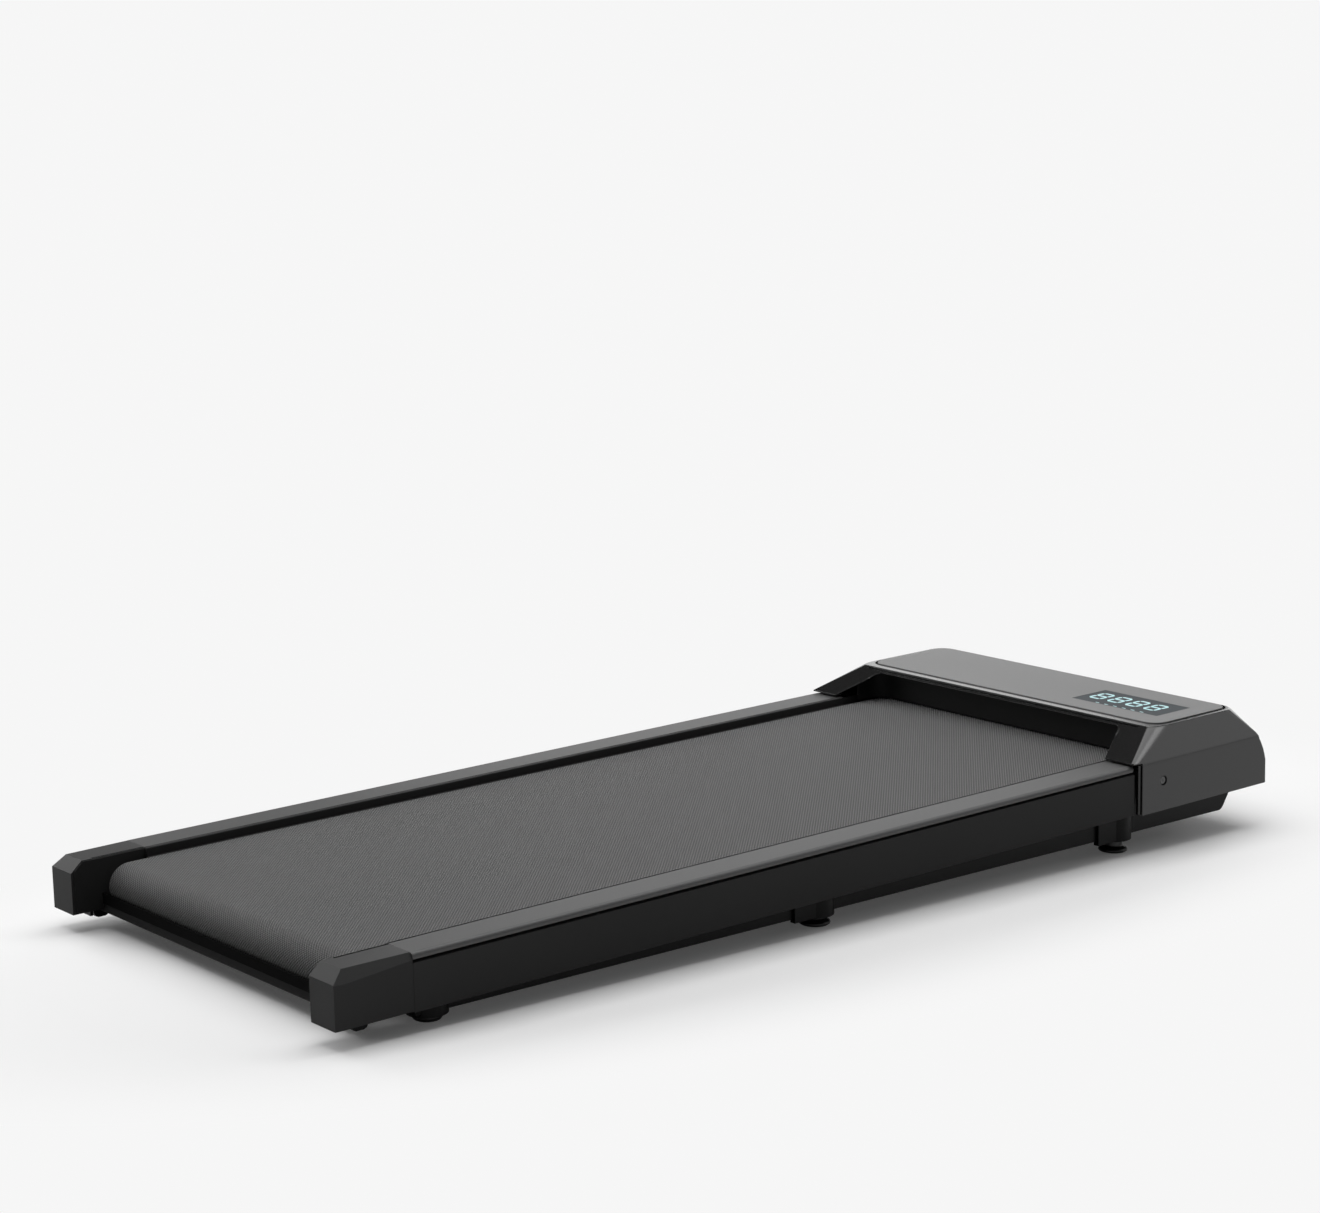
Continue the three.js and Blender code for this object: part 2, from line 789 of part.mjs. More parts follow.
function deckCushion(y) {
  const half = cushionWidth / 2;
  const shape = outline([
    [y - half, cushionTop - cushionThickness],
    [y + half, cushionTop - cushionThickness],
    [y + half, cushionTop, cushionRound],
    [y - half, cushionTop, cushionRound],
  ]);
  return alongX(shape, -boardHalf, boardHalf);
}

// ------------------------------------------------------------------ rollers

const rollerHalf = beltHalf + rollerOverhang;
const rollerBore = rollerRadius - rollerWall;

function roller(y) {
  const end = rollerHalf - rollerEase;
  return turnedX(
    [
      [rollerBore, -rollerHalf],
      [rollerRadius - rollerEase, -rollerHalf],
      [rollerRadius, -end],
      [rollerRadius, end],
      [rollerRadius - rollerEase, rollerHalf],
      [rollerBore, rollerHalf],
      [rollerBore, -rollerHalf],
    ],
    y, rollerZ, 32,
  );
}

function rollerShaft(y) {
  const end = spanEnd - rollerShaftEase;
  return turnedX(
    [
      [0, -spanEnd],
      [rollerShaftRadius - rollerShaftEase, -spanEnd],
      [rollerShaftRadius, -end],
      [rollerShaftRadius, end],
      [rollerShaftRadius - rollerShaftEase, spanEnd],
      [0, spanEnd],
    ],
    y, rollerZ,
  );
}

function rearRollerShaft() {
  const boltX = beamOuter - boltInset;
  const reach = rollerShaftRadius + overcut;
  const holes = [-boltX, boltX].map((x) =>
    turnedY(rod(boltRadius + clearance, rearRollerY - reach, rearRollerY + reach), x, rollerZ),
  );
  return cut(rollerShaft(rearRollerY), ...holes);
}

// A ball bearing, drawn closed, with the groove of its shield on the outer face.
function bearing(y) {
  const outer = rollerBore - clearance;
  const inner = rollerShaftRadius + clearance;
  const far = rollerHalf - bearingRecess;
  const near = far - bearingWidth;
  return turnedX(
    [
      [inner, near],
      [outer, near],
      [outer, far],
      [outer - bearingRace, far],
      [outer - bearingRace, far - bearingGroove],
      [inner + bearingRace, far - bearingGroove],
      [inner + bearingRace, far],
      [inner, far],
      [inner, near],
    ],
    y, rollerZ,
  );
}

function tensionBolt() {
  const x = beamOuter - boltInset;
  const headEnd = beamRear - clearance;
  const headStart = headEnd - boltHeadHeight;
  const shank = turnedY(rod(boltRadius, headStart, rearRollerY + boltPast), x, rollerZ, 16);
  const head = turnedY(rod(boltHeadRadius, headStart, headEnd), x, rollerZ, 6);
  return join(shank, head);
}

// ------------------------------------------------------------------ drive

// A ribbed pulley, from the running belt's side outwards.
function pulley(radius, bore, y, z) {
  const ribWidth = (pulleyWidth - 2 * pulleyFlange) / pulleyRibs;
  const points = [[bore, pulleyInnerX], [radius, pulleyInnerX]];
  for (let rib = 0; rib < pulleyRibs; rib += 1) {
    const from = pulleyInnerX + pulleyFlange + rib * ribWidth;
    points.push([radius, from], [radius - pulleyRibHeight, from + ribWidth / 2]);
  }
  points.push([radius, pulleyOuterX - pulleyFlange], [radius, pulleyOuterX], [bore, pulleyOuterX]);
  points.push([bore, pulleyInnerX]);
  return mirrored(turnedX(points, y, z));
}

// The driven pulley's hub reaches back to the end of the front roller.
function drivenPulley() {
  const bore = rollerShaftRadius + clearance;
  const hubEnd = rollerHalf + clearance;
  const hub = ring(bore, bore + pulleyHubWall, hubEnd, pulleyInnerX + sink);
  return join(
    pulley(drivenPulleyRadius, bore, frontRollerY, rollerZ), mirrored(turnedX(hub, frontRollerY, rollerZ)),
  );
}

function driveBelt() {
  const rear = { y: frontRollerY, z: rollerZ, radius: drivenPulleyRadius + clearance };
  const front = { y: motorY, z: motorZ, radius: motorPulleyRadius + clearance };
  const outerX = -pulleyOuterX + driveBeltInset;
  return beltLoop(rear, front, driveBeltThickness, outerX, -pulleyInnerX - driveBeltInset, 10);
}

function motorHousing() {
  const bore = motorShaftRadius + clearance;
  const boreEnd = -motorInnerX - motorShaftSeat;
  const coverRadius = motorRadius - motorEndStep;
  const faceX = -motorOuterX + motorNoseLength;
  const points = [
    [0, -motorInnerX],
    [coverRadius - motorEndStep, -motorInnerX],
    [coverRadius, -motorInnerX - motorEndStep],
    [coverRadius, -motorInnerX - motorFanCover],
    [motorRadius, -motorInnerX - motorFanCover],
    [motorRadius, faceX + motorShaftCover],
    [coverRadius, faceX + motorShaftCover],
    [coverRadius, faceX + motorEndStep],
    [coverRadius - motorEndStep, faceX],
    [motorNoseRadius, faceX],
    [motorNoseRadius, -motorOuterX],
    [bore, -motorOuterX],
    [bore, boreEnd],
    [0, boreEnd],
  ];
  return turnedX(points, motorY, motorZ);
}

function motorShaft() {
  const outerEnd = -pulleyOuterX - motorShaftProud;
  const innerEnd = -motorInnerX - motorShaftSeat - clearance;
  return turnedX(rod(motorShaftRadius, outerEnd, innerEnd), motorY, motorZ);
}

function motorCradle() {
  const seat = motorRadius + clearance;
  const rear = motorY - seat - cradleSide;
  const front = motorY + seat + cradleSide;
  const footAt = (y) => panTopAt(y) + clearance;
  const frontFoot = motorY + seat - 2 * cradleSide;
  const shape = new THREE.Shape();
  shape.moveTo(rear, footAt(rear));
  shape.lineTo(frontFoot, footAt(frontFoot));
  shape.lineTo(front, motorZ - seat / 2);
  shape.lineTo(front, motorZ);
  shape.lineTo(motorY + seat, motorZ);
  shape.absarc(motorY, motorZ, seat, 0, Math.PI, true);
  shape.lineTo(rear, motorZ);
  shape.closePath();
  const middle = -(motorOuterX + motorInnerX) / 2;
  return alongX(shape, middle - cradleWidth / 2, middle + cradleWidth / 2, 8);
}

// ------------------------------------------------------------------ hood

function hoodOuter() {
  const fromSide = outline([
    [hoodRear, hoodBottom],
    [hoodFront, hoodBottom],
    [hoodFront - noseKneeInset, noseKneeZ, noseKneeRound],
    [hoodFront - noseBreakInset, noseBreakZ, noseBreakRound],
    [hoodTopFront, hoodTop],
    [hoodTopRear, hoodTop],
    [wingRear, wingTop],
    [wingRear, wingBottom],
    [hoodRear, wingBottom],
  ]);
  const fromEnd = outline([
    [-hoodHalf, hoodBottom],
    [hoodHalf, hoodBottom],
    [hoodHalf, hoodCrease],
    [hoodTopHalf, hoodTop],
    [-hoodTopHalf, hoodTop],
    [-hoodHalf, hoodCrease],
  ]);
  const fromTop = outline([
    [-hoodHalf, wingRear, wingCorner],
    [hoodHalf, wingRear, wingCorner],
    [hoodHalf, hoodFront, noseCorner],
    [-hoodHalf, hoodFront, noseCorner],
  ]);
  return common(
    alongX(fromSide, -hoodHalf, hoodHalf),
    alongY(fromEnd, wingRear, hoodFront),
    alongZ(fromTop, hoodBottom, hoodTop),
  );
}

function hoodHollow() {
  const rear = hoodRear + hoodWall;
  const ceilingRear = wingRear + (hoodCeiling - wingTop + wingWall) / wingRise;
  const noseRun = (hoodTopFrontInset - noseBreakInset) / (hoodTop - noseBreakZ);
  const noseWall = hoodWall * Math.hypot(1, noseRun);
  const under = hoodBottom - overcut;
  const fromSide = outline([
    [rear, under],
    [hoodFront - hoodWall, under],
    [hoodFront - hoodWall - noseKneeInset, noseKneeZ, noseKneeRound],
    [hoodFront - noseBreakInset - noseWall, noseBreakZ, noseBreakRound],
    [hoodTopFront + (hoodTop - hoodCeiling) * noseRun - noseWall, hoodCeiling],
    [ceilingRear, hoodCeiling],
    [rear, wingTopAt(rear) - wingWall],
  ]);
  const slant = hoodTopInset / (hoodTop - hoodCrease);
  const slantWall = hoodWall * Math.hypot(1, slant);
  const wallTop = hoodCrease - (slantWall - hoodWall) / slant;
  const wallX = hoodHalf - hoodWall;
  const ceilingX = hoodHalf - slantWall - (hoodCeiling - hoodCrease) * slant;
  const fromEnd = outline([
    [-wallX, under],
    [wallX, under],
    [wallX, wallTop],
    [ceilingX, hoodCeiling],
    [-ceilingX, hoodCeiling],
    [-wallX, wallTop],
  ]);
  return common(alongX(fromSide, -wallX, wallX), alongY(fromEnd, rear, hoodFront));
}

function archway() {
  const head = hoodTop - archHead;
  const spread = (archBottomHalf - archTopHalf) / (head - wingBottom);
  const footHalf = archBottomHalf + overcut * spread;
  const shape = outline([
    [-footHalf, wingBottom - overcut],
    [footHalf, wingBottom - overcut],
    [archTopHalf, head, archCorner],
    [-archTopHalf, head, archCorner],
  ]);
  return alongY(shape, wingRear - overcut, hoodTopRear + hoodWall);
}

function topPanelOutline(grow) {
  const corner = topPanelCorner + grow;
  return outline([
    [-topPanelHalf - grow, topPanelRear - grow, corner],
    [topPanelHalf + grow, topPanelRear - grow, corner],
    [topPanelHalf + grow, topPanelFront + grow, corner],
    [-topPanelHalf - grow, topPanelFront + grow, corner],
  ]);
}

function hoodShell() {
  const boss = turnedX(
    rod(hoodBossRadius, beamOuter + clearance, hoodHalf - hoodWall + sink), hoodScrewY, hoodScrewZ,
  );
  const shell = join(cut(hoodOuter(), hoodHollow()), socketBacking(), boss, mirrored(boss));
  const flangeX = hoodHalf - hoodFlange;
  const rearOpening = block(
    -flangeX, flangeX, wingRear - overcut, hoodRear + hoodWall + overcut, hoodBottom - overcut, wingBottom,
  );
  const panelRecess = alongZ(topPanelOutline(clearance), panelSeat, hoodTop + overcut);
  const lightWell = block(
    windowMinX + windowLedge, windowMaxX - windowLedge,
    windowRear + windowLedge, windowFront - windowLedge,
    hoodCeiling - overcut, hoodTop,
  );
  return cut(shell, rearOpening, archway(), panelRecess, lightWell, ...socketCutters());
}

// The thicker stretch of the front wall behind the sockets.
function socketBacking() {
  const stretch = block(
    socketPanelMinX - socketPanelMargin, socketPanelMaxX + socketPanelMargin,
    socketFaceY - socketPanelWall, hoodFront,
    hoodBottom, socketPanelTop + socketPanelMargin,
  );
  return common(hoodOuter(), stretch);
}

// The pocket in the front wall and the holes through its floor.
function socketCutters() {
  const rear = socketFaceY - socketPanelWall - overcut;
  const pocket = block(
    socketPanelMinX, socketPanelMaxX, socketFaceY, hoodFront + overcut, socketPanelBottom, socketPanelTop,
  );
  const inletHalfWidth = inletBodyWidth / 2 + clearance;
  const inletHalfHeight = inletBodyHeight / 2 + clearance;
  const inletHole = block(
    inletX - inletHalfWidth, inletX + inletHalfWidth, rear, hoodFront,
    inletZ - inletHalfHeight, inletZ + inletHalfHeight,
  );
  const holeHalfWidth = switchHalfWidth + clearance;
  const holeHalfHeight = switchHalfHeight + clearance;
  const switchHole = block(
    rockerX - holeHalfWidth, rockerX + holeHalfWidth, rear, hoodFront,
    inletZ - holeHalfHeight, inletZ + holeHalfHeight,
  );
  const breakerHole = turnedY(rod(breakerRadius + clearance, rear, hoodFront), breakerX, inletZ);
  return [pocket, inletHole, switchHole, breakerHole];
}

function topPanel() {
  const plate = alongZ(topPanelOutline(0), panelSeat + clearance, hoodTop);
  const hole = block(windowMinX, windowMaxX, windowRear, windowFront, panelSeat, hoodTop + overcut);
  return cut(plate, hole);
}

function displayWindow() {
  return block(
    windowMinX + clearance, windowMaxX - clearance,
    windowRear + clearance, windowFront - clearance,
    panelSeat + clearance, hoodTop,
  );
}

function displayBoard() {
  const top = hoodCeiling - clearance;
  const plateTop = top - displayBlockHeight;
  const plate = block(
    windowMinX - displayBoardMargin, windowMaxX + displayBoardMargin,
    windowRear - displayBoardMargin, windowFront + displayBoardMargin,
    plateTop - displayBoardThickness, plateTop,
  );
  const digits = block(windowMinX, windowMaxX, windowRear, windowFront, plateTop - sink, top);
  return join(plate, digits);
}

// The dark wall above the belt, with its ends turned back towards the walker.
function innerWall() {
  const front = frontRollerY - innerWallOffset;
  const rear = front - innerWallLegs;
  const inside = beltHalf + innerWallGap;
  const outside = inside + innerWallThickness;
  const plan = outline([
    [-outside, rear],
    [-inside, rear],
    [-inside, front - innerWallThickness, innerWallCorner],
    [inside, front - innerWallThickness, innerWallCorner],
    [inside, rear],
    [outside, rear],
    [outside, front, innerWallCorner + innerWallThickness],
    [-outside, front, innerWallCorner + innerWallThickness],
  ]);
  const bottom = beltTop + innerWallGap;
  const top = hoodCeiling - clearance;
  const wingUnderAt = (y) => wingTopAt(y) - wingWall - clearance * Math.hypot(1, wingRise);
  const aboveHood = Math.max(hoodTop, wingUnderAt(front + overcut)) + overcut;
  const underWing = alongX(
    outline([
      [rear - overcut, wingUnderAt(rear - overcut)],
      [front + overcut, wingUnderAt(front + overcut)],
      [front + overcut, aboveHood],
      [rear - overcut, aboveHood],
    ]),
    -outside - overcut,
    outside + overcut,
  );
  return cut(alongZ(plan, bottom, top, 5), underWing);
}

// ------------------------------------------------------------------ electrics

function controllerBoard() {
  const plate = block(
    controllerMinX, controllerMaxX, controllerRear, controllerFront, controllerZ, controllerTop,
  );
  return join(plate, ...standoffs(), ...capacitors(), coil(), ...relays());
}

function onBoard(points, x, y, segments = 18) {
  return turnedZ(points, x, y, segments);
}

function standoffs() {
  const legs = [];
  for (const x of [controllerMinX + standoffInset, controllerMaxX - standoffInset]) {
    for (const y of [controllerRear + standoffInset, controllerRear + standoffInset + standoffSpacing]) {
      const floor = panTopAt(y - standoffRadius) + clearance;
      legs.push(onBoard(rod(standoffRadius, floor, controllerZ + sink), x, y, 12));
    }
  }
  return legs;
}

function capacitors() {
  const pitch = 2 * capacitorRadius + partSpacing;
  const y = controllerFront - capacitorRadius - partSpacing;
  return [0, 1].map((i) =>
    onBoard(
      rod(capacitorRadius, controllerTop - sink, controllerTop + capacitorHeight),
      controllerMinX + capacitorInset + i * pitch, y,
    ),
  );
}

function coil() {
  return onBoard(
    ring(coilBore, coilRadius, controllerTop - sink, controllerTop + coilHeight),
    controllerMinX + coilInset, controllerRear + coilRadius + partSpacing,
  );
}

function relays() {
  const x = controllerMinX + relayInset;
  return [0, 1].map((i) => {
    const y = controllerRear + partSpacing + i * (relayLength + partSpacing);
    return block(x, x + relayWidth, y, y + relayLength, controllerTop - sink, controllerTop + relayHeight);
  });
}

function heatsink() {
  const maxX = controllerMaxX - heatsinkInset;
  const minX = maxX - heatsinkWidth;
  const rear = controllerRear + heatsinkRearInset;
  const front = rear + heatsinkLength;
  const bottom = controllerTop + clearance;
  const baseTop = bottom + heatsinkBase;
  const base = block(minX, maxX, rear, front, bottom, baseTop);
  const pitch = (heatsinkWidth - heatsinkFin) / (heatsinkFins - 1);
  const fins = Array.from({ length: heatsinkFins }, (_, i) => {
    const x = minX + i * pitch;
    return block(x, x + heatsinkFin, rear, front, baseTop - sink, bottom + heatsinkHeight);
  });
  return join(base, ...fins);
}

// One moulded module: the mains inlet and the frame of the rocker switch.
function powerInlet() {
  const minX = rockerX - switchHalfWidth - inletFlangeMargin;
  const halfFlange = inletFlangeHeight / 2;
  const flange = block(minX, inletMaxX, inletSeatY, inletFrontY, inletZ - halfFlange, inletZ + halfFlange);
  const halfWidth = inletBodyWidth / 2;
  const halfHeight = inletBodyHeight / 2;
  const body = block(
    inletX - halfWidth, inletX + halfWidth, inletBackY, inletFrontY, inletZ - halfHeight, inletZ + halfHeight,
  );
  const switchBody = block(
    rockerX - switchHalfWidth, rockerX + switchHalfWidth,
    rockerY - switchHalfHeight, inletFrontY,
    inletZ - switchHalfHeight, inletZ + switchHalfHeight,
  );
  const switchCavity = block(
    rockerX - rockerWidth / 2 - clearance, rockerX + rockerWidth / 2 + clearance,
    rockerY - rockerRoom, inletFrontY + overcut,
    inletZ - rockerRoom, inletZ + rockerRoom,
  );
  return join(cut(join(flange, body, switchBody), inletCavity(), switchCavity), ...inletPins());
}

function inletCavity() {
  const halfWidth = inletBodyWidth / 2 - inletWall;
  const halfHeight = inletBodyHeight / 2 - inletWall;
  const shape = outline([
    [inletX - halfWidth, inletZ - halfHeight],
    [inletX + halfWidth, inletZ - halfHeight],
    [inletX + halfWidth, inletZ + halfHeight, inletCavityCorner],
    [inletX - halfWidth, inletZ + halfHeight, inletCavityCorner],
  ]);
  return alongY(shape, inletFrontY - inletCavityDepth, inletFrontY + overcut);
}

function inletPins() {
  const root = inletFrontY - inletCavityDepth;
  const places = [
    [-inletPinSpread, -inletPinStagger],
    [0, inletPinStagger],
    [inletPinSpread, -inletPinStagger],
  ];
  return places.map(([x, z]) =>
    block(
      inletX + x - inletPinWidth / 2, inletX + x + inletPinWidth / 2,
      root - sink, root + inletPinLength,
      inletZ + z - inletPinHeight / 2, inletZ + z + inletPinHeight / 2,
    ),
  );
}

function rockerSwitch() {
  const opening = THREE.MathUtils.degToRad(rockerOpeningDegrees);
  const tilt = THREE.MathUtils.degToRad(-rockerTiltDegrees);
  const shape = new THREE.Shape();
  shape.absarc(rockerY, inletZ, rockerRadius, opening + tilt, 2 * Math.PI - opening + tilt, false);
  shape.lineTo(rockerY + rockerDip * Math.cos(tilt), inletZ + rockerDip * Math.sin(tilt));
  shape.closePath();
  return alongX(shape, rockerX - rockerWidth / 2, rockerX + rockerWidth / 2, 8);
}

function breakerButton() {
  const front = socketFaceY + breakerProud;
  return turnedY(
    [
      [0, front - breakerLength],
      [breakerRadius, front - breakerLength],
      [breakerRadius, front - breakerEase],
      [breakerRadius - breakerEase, front],
      [0, front],
    ],
    breakerX, inletZ,
  );
}

// ------------------------------------------------------------------ feet and wheels

// A round bracket that reaches up outside the beam and is notched to fit under it.
function footBracket({ y, drop }) {
  const bottom = beamBottomAt(y) - drop;
  const post = turnedZ(rod(bracketRadius, bottom, bracketTop), footX, y, 28);
  const notch = block(
    footX - bracketRadius - overcut, beamOuter + clearance,
    y - bracketRadius - overcut, y + bracketRadius + overcut,
    beamBottomAt(y + bracketRadius) - clearance, bracketTop + overcut,
  );
  const spigotHole = turnedZ(
    rod(footSpigotRadius + footSpigotSlack, bottom - overcut, bracketTop), footX, y,
  );
  return cut(post, notch, spigotHole);
}

// The rubber pad between the floor and a bracket, which leans with the deck.
function foot({ y, drop }) {
  const seat = new THREE.Vector3(footX, y, beamBottomAt(y) - drop).applyMatrix4(deck.matrixWorld);
  const padTop = seat.z - footRadius * Math.sin(incline) - clearance;
  return turnedZ(
    [
      [0, 0],
      [footRadius - footBaseInset, 0],
      [footRadius - footBaseInset / 2, footEase],
      [footRadius, padTop / 2],
      [footRadius, padTop - footEase],
      [footRadius - footEase, padTop],
      [footSpigotRadius, padTop],
      [footSpigotRadius, padTop + footSpigotHeight],
      [0, padTop + footSpigotHeight],
    ],
    seat.x, seat.y, 18,
  );
}

function wheelFork() {
  const earNear = wheelX - wheelWidth / 2 - clearance;
  const earFar = wheelX + wheelWidth / 2 + clearance;
  const rear = wheelY - wheelEarRadius;
  const front = wheelY + wheelEarRadius;
  const top = panShelf - clearance;
  const bottom = wheelZ - wheelEarRadius;
  const plate = block(earNear - wheelEar, earFar + wheelEar, rear, front, top - wheelEar, top);
  const earShape = outline([
    [rear, top],
    [rear, bottom, wheelEarRound],
    [front, bottom, wheelEarRound],
    [front, top],
  ]);
  const ears = [earNear - wheelEar, earFar].map((x) => alongX(earShape, x, x + wheelEar));
  const axle = turnedX(rod(wheelAxleRadius, earNear - sink, earFar + sink), wheelY, wheelZ);
  return join(plate, ...ears, axle);
}

function transportWheel() {
  const bore = wheelAxleRadius + clearance;
  const near = wheelX - wheelWidth / 2;
  const far = wheelX + wheelWidth / 2;
  const hub = bore + wheelHubWall;
  const rim = wheelRadius - wheelRim;
  return turnedX(
    [
      [bore, near],
      [hub, near],
      [hub, near + wheelDish],
      [rim, near + wheelDish],
      [rim, near],
      [wheelRadius - wheelTread, near],
      [wheelRadius, near + wheelTread],
      [wheelRadius, far - wheelTread],
      [wheelRadius - wheelTread, far],
      [rim, far],
      [rim, far - wheelDish],
      [hub, far - wheelDish],
      [hub, far],
      [bore, far],
      [bore, near],
    ],
    wheelY, wheelZ, 20,
  );
}

// ------------------------------------------------------------------ putting it together

placePair('side_beam', sideBeam(), paintedSteel);
place(deck, 'cross_member_rear', rearAngle(), paintedSteel);
for (const [station, y] of Object.entries(deckCrossYs)) {
  place(deck, `deck_cross_${station}`, deckCross(y), paintedSteel);
  place(deck, `deck_cushion_${station}`, deckCushion(y), footRubber);
}
place(deck, 'motor_pan', motorPan(), paintedSteel);
placePair('foot_rail', footRail(), satinRail);
placePair('side_panel', sidePanel(), blackPlastic);
placePair('rear_cap', rearCap(), blackPlastic);

place(deck, 'deck_board', deckBoard(), board);
place(deck, 'running_belt', runningBelt(), beltRubber);

place(deck, 'rear_roller', roller(rearRollerY), brightSteel);
place(deck, 'rear_roller_shaft', rearRollerShaft(), brightSteel);
placePair('rear_bearing', bearing(rearRollerY), brightSteel);
placePair('tension_bolt', tensionBolt(), brightSteel);
place(deck, 'front_roller', roller(frontRollerY), brightSteel);
place(deck, 'front_roller_pulley', drivenPulley(), aluminium);
place(deck, 'front_roller_shaft', rollerShaft(frontRollerY), brightSteel);
placePair('front_bearing', bearing(frontRollerY), brightSteel);

place(deck, 'motor_housing', motorHousing(), paintedSteel);
place(deck, 'motor_shaft', motorShaft(), brightSteel);
const motorPulley = pulley(motorPulleyRadius, motorShaftRadius + clearance, motorY, motorZ);
place(deck, 'motor_pulley', motorPulley, aluminium);
place(deck, 'motor_cradle', motorCradle(), paintedSteel);
place(deck, 'drive_belt', driveBelt(), beltRubber);

place(deck, 'hood_shell', hoodShell(), hoodPlastic);
place(deck, 'hood_top_panel', topPanel(), topPanelPlastic);
place(deck, 'hood_inner_wall', innerWall(), blackPlastic);
place(deck, 'display_window', displayWindow(), displayGlass);
place(deck, 'display_board', displayBoard(), circuitGreen);
place(deck, 'controller_board', controllerBoard(), circuitGreen);
place(deck, 'controller_heatsink', heatsink(), aluminium);
place(deck, 'power_inlet', powerInlet(), blackPlastic);
place(deck, 'rocker_switch', rockerSwitch(), blackPlastic);
place(deck, 'breaker_button', breakerButton(), blackPlastic);

for (const [station, seat] of Object.entries(stations)) {
  placePair(`foot_bracket_${station}`, footBracket(seat), paintedSteel);
  const pad = foot(seat);
  place(ground, `foot_${station}_right`, pad, footRubber);
  place(ground, `foot_${station}_left`, mirrored(pad), footRubber);
}
placePair('wheel_fork', wheelFork(), paintedSteel);
placePair('transport_wheel', transportWheel(), footRubber);

// The middle of the machine's length becomes y = 0.
const treadmill = new THREE.Group();
treadmill.add(deck, ground);
treadmill.updateMatrixWorld();
treadmill.position.y = -new THREE.Box3().setFromObject(treadmill, true).getCenter(new THREE.Vector3()).y;

export default treadmill;
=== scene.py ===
"""The looks of a low walking treadmill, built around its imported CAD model.

Metres throughout, +Z up, +Y the walking direction and +X the walker's right. Pieces of the
deck are drawn in the deck's own frame, which leans up towards the front by a small angle: its
origin is under the middle of the rear caps, and its Y runs along the walking belt.
"""

import itertools
import json
import math

import bmesh
import bpy
from mathutils import Matrix, Vector


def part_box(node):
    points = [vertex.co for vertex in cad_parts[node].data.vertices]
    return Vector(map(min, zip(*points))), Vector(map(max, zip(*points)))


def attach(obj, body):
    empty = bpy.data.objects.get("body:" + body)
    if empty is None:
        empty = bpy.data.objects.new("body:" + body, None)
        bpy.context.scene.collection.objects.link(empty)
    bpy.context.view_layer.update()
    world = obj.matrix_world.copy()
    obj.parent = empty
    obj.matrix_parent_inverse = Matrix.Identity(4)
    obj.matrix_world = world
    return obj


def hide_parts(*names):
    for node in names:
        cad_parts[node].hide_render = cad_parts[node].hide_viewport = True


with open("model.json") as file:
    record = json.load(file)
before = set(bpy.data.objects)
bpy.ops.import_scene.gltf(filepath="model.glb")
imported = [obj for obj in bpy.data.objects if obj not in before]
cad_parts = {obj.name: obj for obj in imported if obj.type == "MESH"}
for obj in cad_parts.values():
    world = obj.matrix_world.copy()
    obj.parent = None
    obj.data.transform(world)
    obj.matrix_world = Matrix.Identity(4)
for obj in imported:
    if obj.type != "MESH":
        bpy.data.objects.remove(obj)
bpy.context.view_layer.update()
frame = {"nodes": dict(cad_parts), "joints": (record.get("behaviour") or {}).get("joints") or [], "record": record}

MM = 0.001


# ---------------------------------------------------------------- camera

CAMERA_PLACE = (2.27193, -1.92515, 0.82139)
CAMERA_TURN = math.radians(50.463)
CAMERA_DIP = math.radians(10.237)
CAMERA_LENS_MM = 79.8
CAMERA_SENSOR_MM = 36
CAMERA_CLIP = (0.05, 100)


def make_camera():
    """Looks down a little on the machine, from behind it and from its right."""
    data = bpy.data.cameras.new("camera")
    data.lens = CAMERA_LENS_MM
    data.sensor_width = CAMERA_SENSOR_MM
    data.clip_start, data.clip_end = CAMERA_CLIP
    camera = bpy.data.objects.new("camera", data)
    camera.location = CAMERA_PLACE
    camera.rotation_euler = (math.pi / 2 - CAMERA_DIP, 0, CAMERA_TURN)
    bpy.context.scene.collection.objects.link(camera)
    bpy.context.scene.camera = camera


make_camera()


# ---------------------------------------------------------------- the deck's frame

REAR_AXIS_IN_DECK = Vector((0, 0.0563, 0.0422))  # the rear roller's axis


def joint_place(name):
    joint = next(j for j in frame["joints"] if j["name"] == name)
    return Vector(joint["pos_m"])


def deck_matrix():
    """Places the deck's frame from the axes of its two rollers."""
    rear = joint_place("rear_roller_spin")
    along = (joint_place("front_roller_spin") - rear).normalized()
    across = Vector((1, 0, 0))
    up = across.cross(along)
    turn = Matrix((across, along, up)).transposed().to_4x4()
    return Matrix.Translation(rear) @ turn @ Matrix.Translation(-REAR_AXIS_IN_DECK)


DECK = deck_matrix()


def deck_box(node):
    """Lowest and highest corners of a CAD node in the deck's frame."""
    inverse = DECK.inverted()
    points = [inverse @ vertex.co for vertex in frame["nodes"][node].data.vertices]
    low = Vector([min(p[i] for p in points) for i in range(3)])
    high = Vector([max(p[i] for p in points) for i in range(3)])
    return low, high


# ---------------------------------------------------------------- shader helpers

ROUNDING_SAMPLES = 6


